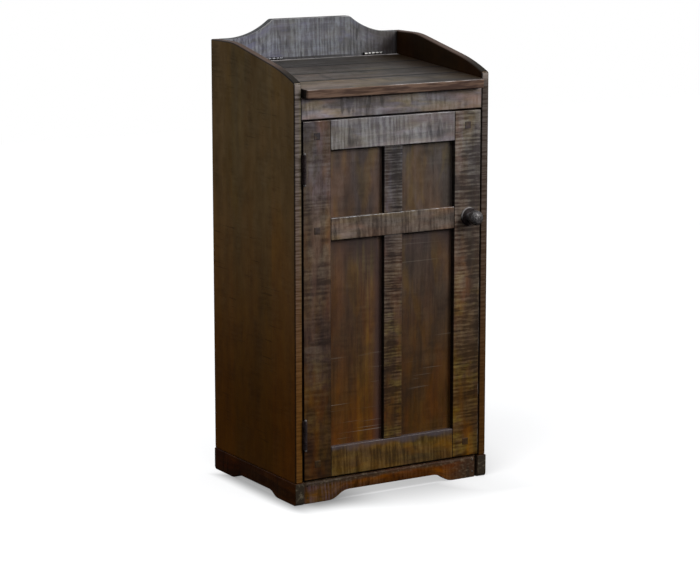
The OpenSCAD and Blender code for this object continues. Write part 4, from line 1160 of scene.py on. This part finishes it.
# Knob: a turned steel head with a hammered face, on a slim neck and a round rose, all
# painted black and held by a bolt through the stile.
door_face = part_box("left_stile")[0][1]
knob_low, knob_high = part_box("knob")
knob_x, knob_z = (knob_low[0] + knob_high[0]) / 2, (knob_low[2] + knob_high[2]) / 2
rose_low, rose_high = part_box("knob_rose")
rose_r = (rose_high[0] - rose_low[0]) / 2
rose_t = rose_high[1] - rose_low[1]


def turned(name, radius, reach, body, slot, paint, nodes, sides=72):
    """A turned piece on the knob's axis, closed at both ends. `radius` and `reach` are the
    profile: distance from the axis, and distance out from the door's face."""
    angle = np.linspace(0, 2 * np.pi, sides, endpoint=False)
    ring = np.stack([np.cos(angle), np.sin(angle)], 1)
    around = radius[1:-1, None, None] * ring[None]
    count = len(radius) - 2
    depth = np.broadcast_to(door_face - reach[1:-1, None], (count, sides))
    points = np.stack([knob_x + around[..., 0], depth, knob_z + around[..., 1]], -1).reshape(-1, 3)
    first = np.array([[knob_x, door_face - reach[0], knob_z]])
    last = np.array([[knob_x, door_face - reach[-1], knob_z]])
    points = np.concatenate([points, first, last])
    here, there = np.arange(sides), (np.arange(sides) + 1) % sides
    faces = []
    for row in range(count - 1):
        a, b = row * sides, (row + 1) * sides
        faces += np.stack([a + here, a + there, b + there, b + here], 1).tolist()
    faces += np.stack([there, here, np.full(sides, count * sides)], 1).tolist()
    top = (count - 1) * sides
    faces += np.stack([top + here, top + there, np.full(sides, count * sides + 1)], 1).tolist()
    return solid(name, points, faces, body, paint, nodes)


def black_paint(name, tone, hammered, rough, cloudy=90, metal=0.3, gloss=0.5, rubbed=None, highlight_tone=0.15):
    """Black paint on steel: faint cloudy wear, and dents where it is hammered. `rubbed` makes
    the mask of the places that are painted pale, as painted highlights."""
    made, tree, shader = material(name)
    place = node(tree, "TexCoord").outputs["Object"]
    dents = node(tree, "TexVoronoi", {"Vector": place, "Scale": 300.0, "Smoothness": 0.8},
                 feature="SMOOTH_F1").outputs["Distance"]
    dust = fade(tree, cloud(tree, place, (cloudy, cloudy, cloudy), 3, 0.6), 0.42, 0.72)
    colour = blend(tree, dust, tone + (1,), tuple(2.6 * part for part in tone) + (1,))
    if rubbed:
        colour = blend(tree, rubbed(tree, place), colour, (highlight_tone, 0.92 * highlight_tone, 0.9 * highlight_tone, 1))
    grit = times(tree, cloud(tree, place, (700, 700, 700), 2), 0.02)
    height = plus(tree, times(tree, dents, hammered), grit)
    feed(tree, shader, {
        "Base Color": colour, "Roughness": plus(tree, rough, times(tree, dust, 0.18)),
        "Metallic": metal, "Specular IOR Level": gloss, "Normal": relief(tree, height),
    })
    return made


def rose_rim_highlight(tree, place):
    """A painted highlight: the bright arc on the upper left of the rose's rim."""
    across = scaled(tree, moved(tree, place, (-knob_x, 0, -knob_z)), (1, 0, 1))
    radius = node(tree, "VectorMath", {0: across}, operation="LENGTH").outputs["Value"]
    upper_left = node(tree, "VectorMath", {0: across, 1: (-0.6, 0, 0.8)}, operation="DOT_PRODUCT")
    rim = fade(tree, radius, rose_r - 0.0026, rose_r - 0.0012)
    return times(tree, rim, fade(tree, upper_left.outputs["Value"], 0.006, 0.015))


knob_black = black_paint("black hammered paint", (0.042, 0.038, 0.038), hammered=1.1, rough=0.27,
                         cloudy=300)
rose_black = black_paint("black paint of the rose", (0.009, 0.006, 0.006), hammered=0.3, rough=0.5,
                         cloudy=260, metal=0.0, gloss=0.15, rubbed=rose_rim_highlight, highlight_tone=0.165)
smooth_black = black_paint("black paint", (0.014, 0.012, 0.011), hammered=0.04, rough=0.24)
# The rose's profile goes from its back round its edge, and over its face in to the neck
edge_r = 0.0022
arc_turn = np.radians(np.linspace(0, 90, 7))
turned(
    "rose",
    np.concatenate([[0, rose_r - 0.0006, rose_r], rose_r - edge_r + edge_r * np.cos(arc_turn),
                    [rose_r - 0.006, 0.0105, 0.0095, 0.002, 0]]),
    np.concatenate([[0, 0, 0.0006], rose_t - 0.001 - edge_r + edge_r * np.sin(arc_turn),
                    [rose_t - 0.0007, rose_t - 0.0002, rose_t, rose_t, rose_t]]),
    "door", "black_steel", rose_black, ["knob_rose"],
)
# The knob's profile: a neck that narrows from its foot in a hollow curve, and an oval head
# that is a little fuller than an ellipse
neck_foot_r, neck_r, neck_l = 0.0095, 0.0075, 0.010
head_r = (knob_high[0] - knob_low[0]) / 2
head_l = door_face - rose_t - neck_l - knob_low[1]
head_centre = rose_t + neck_l + head_l / 2
lean = math.asin(neck_r / head_r)
sweep = np.linspace(lean - math.pi / 2, math.pi / 2, 34)
fullness = 0.86
across = np.sign(np.cos(sweep)) * np.abs(np.cos(sweep)) ** fullness
outward = np.sign(np.sin(sweep)) * np.abs(np.sin(sweep)) ** fullness
neck = np.linspace(0, 1, 7)
neck_curve = neck_r + (neck_foot_r - neck_r) * (1 - neck) ** 2
turned(
    "knob_head",
    np.concatenate([[0, neck_foot_r], neck_curve[1:], head_r * across[1:-1], [0]]),
    np.concatenate([[rose_t, rose_t], rose_t + neck[1:] * neck_l * 0.93,
                    head_centre + head_l / 2 * outward[1:-1], [rose_t + neck_l + head_l]]),
    "door", "black_steel", knob_black, ["knob"],
)
refinish(smooth_black, "knob_bolt")


# Hinges and catch: steel butt hinges, painted black and with ball tips for the door, bright
# for the lid, all screwed on, and a magnetic catch with its strike plate inside.
def bright_metal(name, tone, rough, start=0.0, knuckle=0.0):
    """Bright steel with a fine grain and a little tarnish. Where the knuckles of a lid hinge
    meet, every `knuckle` metres from `start`, a dark ring is painted as shade in the gap."""
    made, tree, shader = material(name)
    place = node(tree, "TexCoord").outputs["Object"]
    tarnish = fade(tree, cloud(tree, place, (130, 130, 130), 3), 0.42, 0.68)
    colour = blend(tree, tarnish, tone + (1,), tuple(0.3 * part for part in tone) + (1,))
    if knuckle:
        along = minus(tree, axes_of(tree, place)["X"], start)
        from_joint = maths(tree, "PINGPONG", along, knuckle / 2)
        # Painted shade in the gaps between the knuckles
        colour = blend(tree, fade(tree, from_joint, 0.0022, 0.0008), colour, (0.01, 0.009, 0.009, 1))
    brushed = cloud(tree, place, (60, 900, 900), 2, 0.6)
    feed(tree, shader, {
        "Base Color": colour, "Roughness": plus(tree, rough, times(tree, tarnish, 0.2)), "Metallic": 1,
        "Normal": relief(tree, brushed, 0.0001, 0.6),
    })
    return made


def hinge_tip_highlights(tree, place):
    """Painted highlights on the ball tips of the door hinges, past the ends of their leaves."""
    height = axes_of(tree, place)["Z"]
    leaves = [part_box(f"{level}_frame_leaf") for level in ("upper", "lower")]
    from_upper, from_lower = (
        maths(tree, "ABSOLUTE", minus(tree, height, (low[2] + high[2]) / 2)) for low, high in leaves
    )
    low, high = leaves[0]
    half = (high[2] - low[2]) / 2
    return fade(tree, maths(tree, "MINIMUM", from_upper, from_lower), half + 0.0004, half + 0.0012)


hinge_black = black_paint("black paint of the hinges", (0.014, 0.009, 0.009), hammered=0.0, rough=0.45,
                          metal=0.0, gloss=0.2, rubbed=hinge_tip_highlights, highlight_tone=0.1)
bright_steel = bright_metal("bright steel", (0.4, 0.39, 0.37), 0.3)
refinish(hinge_black, "upper_frame_leaf", "lower_frame_leaf", "upper_hinge_pin", "lower_hinge_pin",
         "upper_door_leaf", "lower_door_leaf")
refinish(smooth_black, "catch_magnet")
refinish(bright_steel, "catch_strike")
lid_steels = {}
# The left hinge's steel is a darker tone, as painted shade
for end, tone in (("left", (0.1, 0.1, 0.11)), ("right", (0.24, 0.235, 0.23))):
    low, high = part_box(f"{end}_crest_leaf")
    lid_steels[end] = bright_metal(f"{end} lid hinge steel", tone, 0.36, low[0], (high[0] - low[0]) / 5)
    refinish(lid_steels[end], f"{end}_crest_leaf", f"{end}_lid_leaf", f"{end}_lid_pin")


# Screws and nails: three countersunk screws in each hinge leaf, filed almost flush because
# the leaves nearly touch, and two nails at each end of the front plinth, of which the left
# ones are stained over.
def heads(name, places, outward, radius, proud, slotted, body, paint):
    """A group of round heads on a flat face. `outward` is the way it looks: an axis, and 1
    or -1 along it. Each head is a slab whose square outline (u, v) is drawn out to a disc,
    radius * (u * sqrt(1 - v^2 / 2), v * sqrt(1 - u^2 / 2)); its top is a low dome, its foot
    is sunk a little, and a screw's has a slot."""
    sunk = 0.0004
    points, quads, _ = board_skin((-1, -1, 0), (1, 1, 1), 0.05, 0.2, {Y: [-0.17, -0.14, 0.14, 0.17]})
    u, v, w = points.T
    dome = proud * (1 - 0.5 * (u ** 2 + v ** 2 - u ** 2 * v ** 2))
    if slotted:
        dome = np.where((np.abs(v) < 0.15) & (np.abs(u) < 0.85), 0.1 * proud, dome)
    a, b = radius * u * np.sqrt(1 - v ** 2 / 2), radius * v * np.sqrt(1 - u ** 2 / 2)
    (axis, way), units = outward, np.eye(3)
    first, second, out = units[(axis + 1) % 3] * way, units[(axis + 2) % 3], units[axis] * way
    every = []
    for number, place in enumerate(places):
        turn = 0.9 * number + 0.4
        right = a * math.cos(turn) - b * math.sin(turn)
        up = a * math.sin(turn) + b * math.cos(turn)
        every.append(place + np.outer(right, first) + np.outer(up, second)
                     + np.outer(w * (dome + sunk) - sunk, out))
    faces = np.concatenate([quads + number * len(points) for number in range(len(places))])
    return solid(name, np.concatenate(every), faces, body, paint, sharp=35)


door_leaf_t, door_screw_r, door_screw_proud = 0.0013, 0.0029, 0.00013
door_screw_pitch, door_screw_inset = 0.023, 0.0085
lid_leaf_t, lid_screw_r, lid_screw_proud = 0.0012, 0.0025, 0.00007
lid_screw_pitch, lid_screw_rise = 0.018, 0.0075
for name, body, x, way in (
    ("frame_leaf", "cabinet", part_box("upper_frame_leaf")[0][0] + door_leaf_t, 1),
    ("door_leaf", "door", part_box("left_stile")[0][0] - door_leaf_t, -1),
):
    for level in ("upper", "lower"):
        low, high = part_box(f"{level}_{name}")
        y, middle = high[1] - door_screw_inset, (low[2] + high[2]) / 2
        places = [(x, y, middle + step * door_screw_pitch) for step in (-1, 0, 1)]
        heads(f"{level}_{name}_screws", places, (X, way), door_screw_r, door_screw_proud, True,
              body, hinge_black)
for name, body, y, way in (
    ("crest_leaf", "cabinet", crest_low[1] - lid_leaf_t, -1),
    ("lid_leaf", "lid", lid_back[0] + lid_leaf_t, 1),
):
    for end in ("left", "right"):
        low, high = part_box(f"{end}_{name}")
        middle, z = (low[0] + high[0]) / 2, low[2] + lid_screw_rise
        places = [(middle + step * lid_screw_pitch, y, z) for step in (-1, 0, 1)]
        heads(f"{end}_{name}_screws", places, (Y, way), lid_screw_r, lid_screw_proud, True,
              body, lid_steels[end])
nail_x, nail_heights = front_half - 0.0105, (0.014, 0.0415)
nail_r, nail_proud = 0.0017, 0.0004
for end, x, paint in (("left", -nail_x, smooth_black), ("right", nail_x, bright_steel)):
    heads(f"{end}_plinth_nails", [(x, front_low[1], z) for z in nail_heights], (Y, -1), nail_r,
          nail_proud, False, "cabinet", paint)
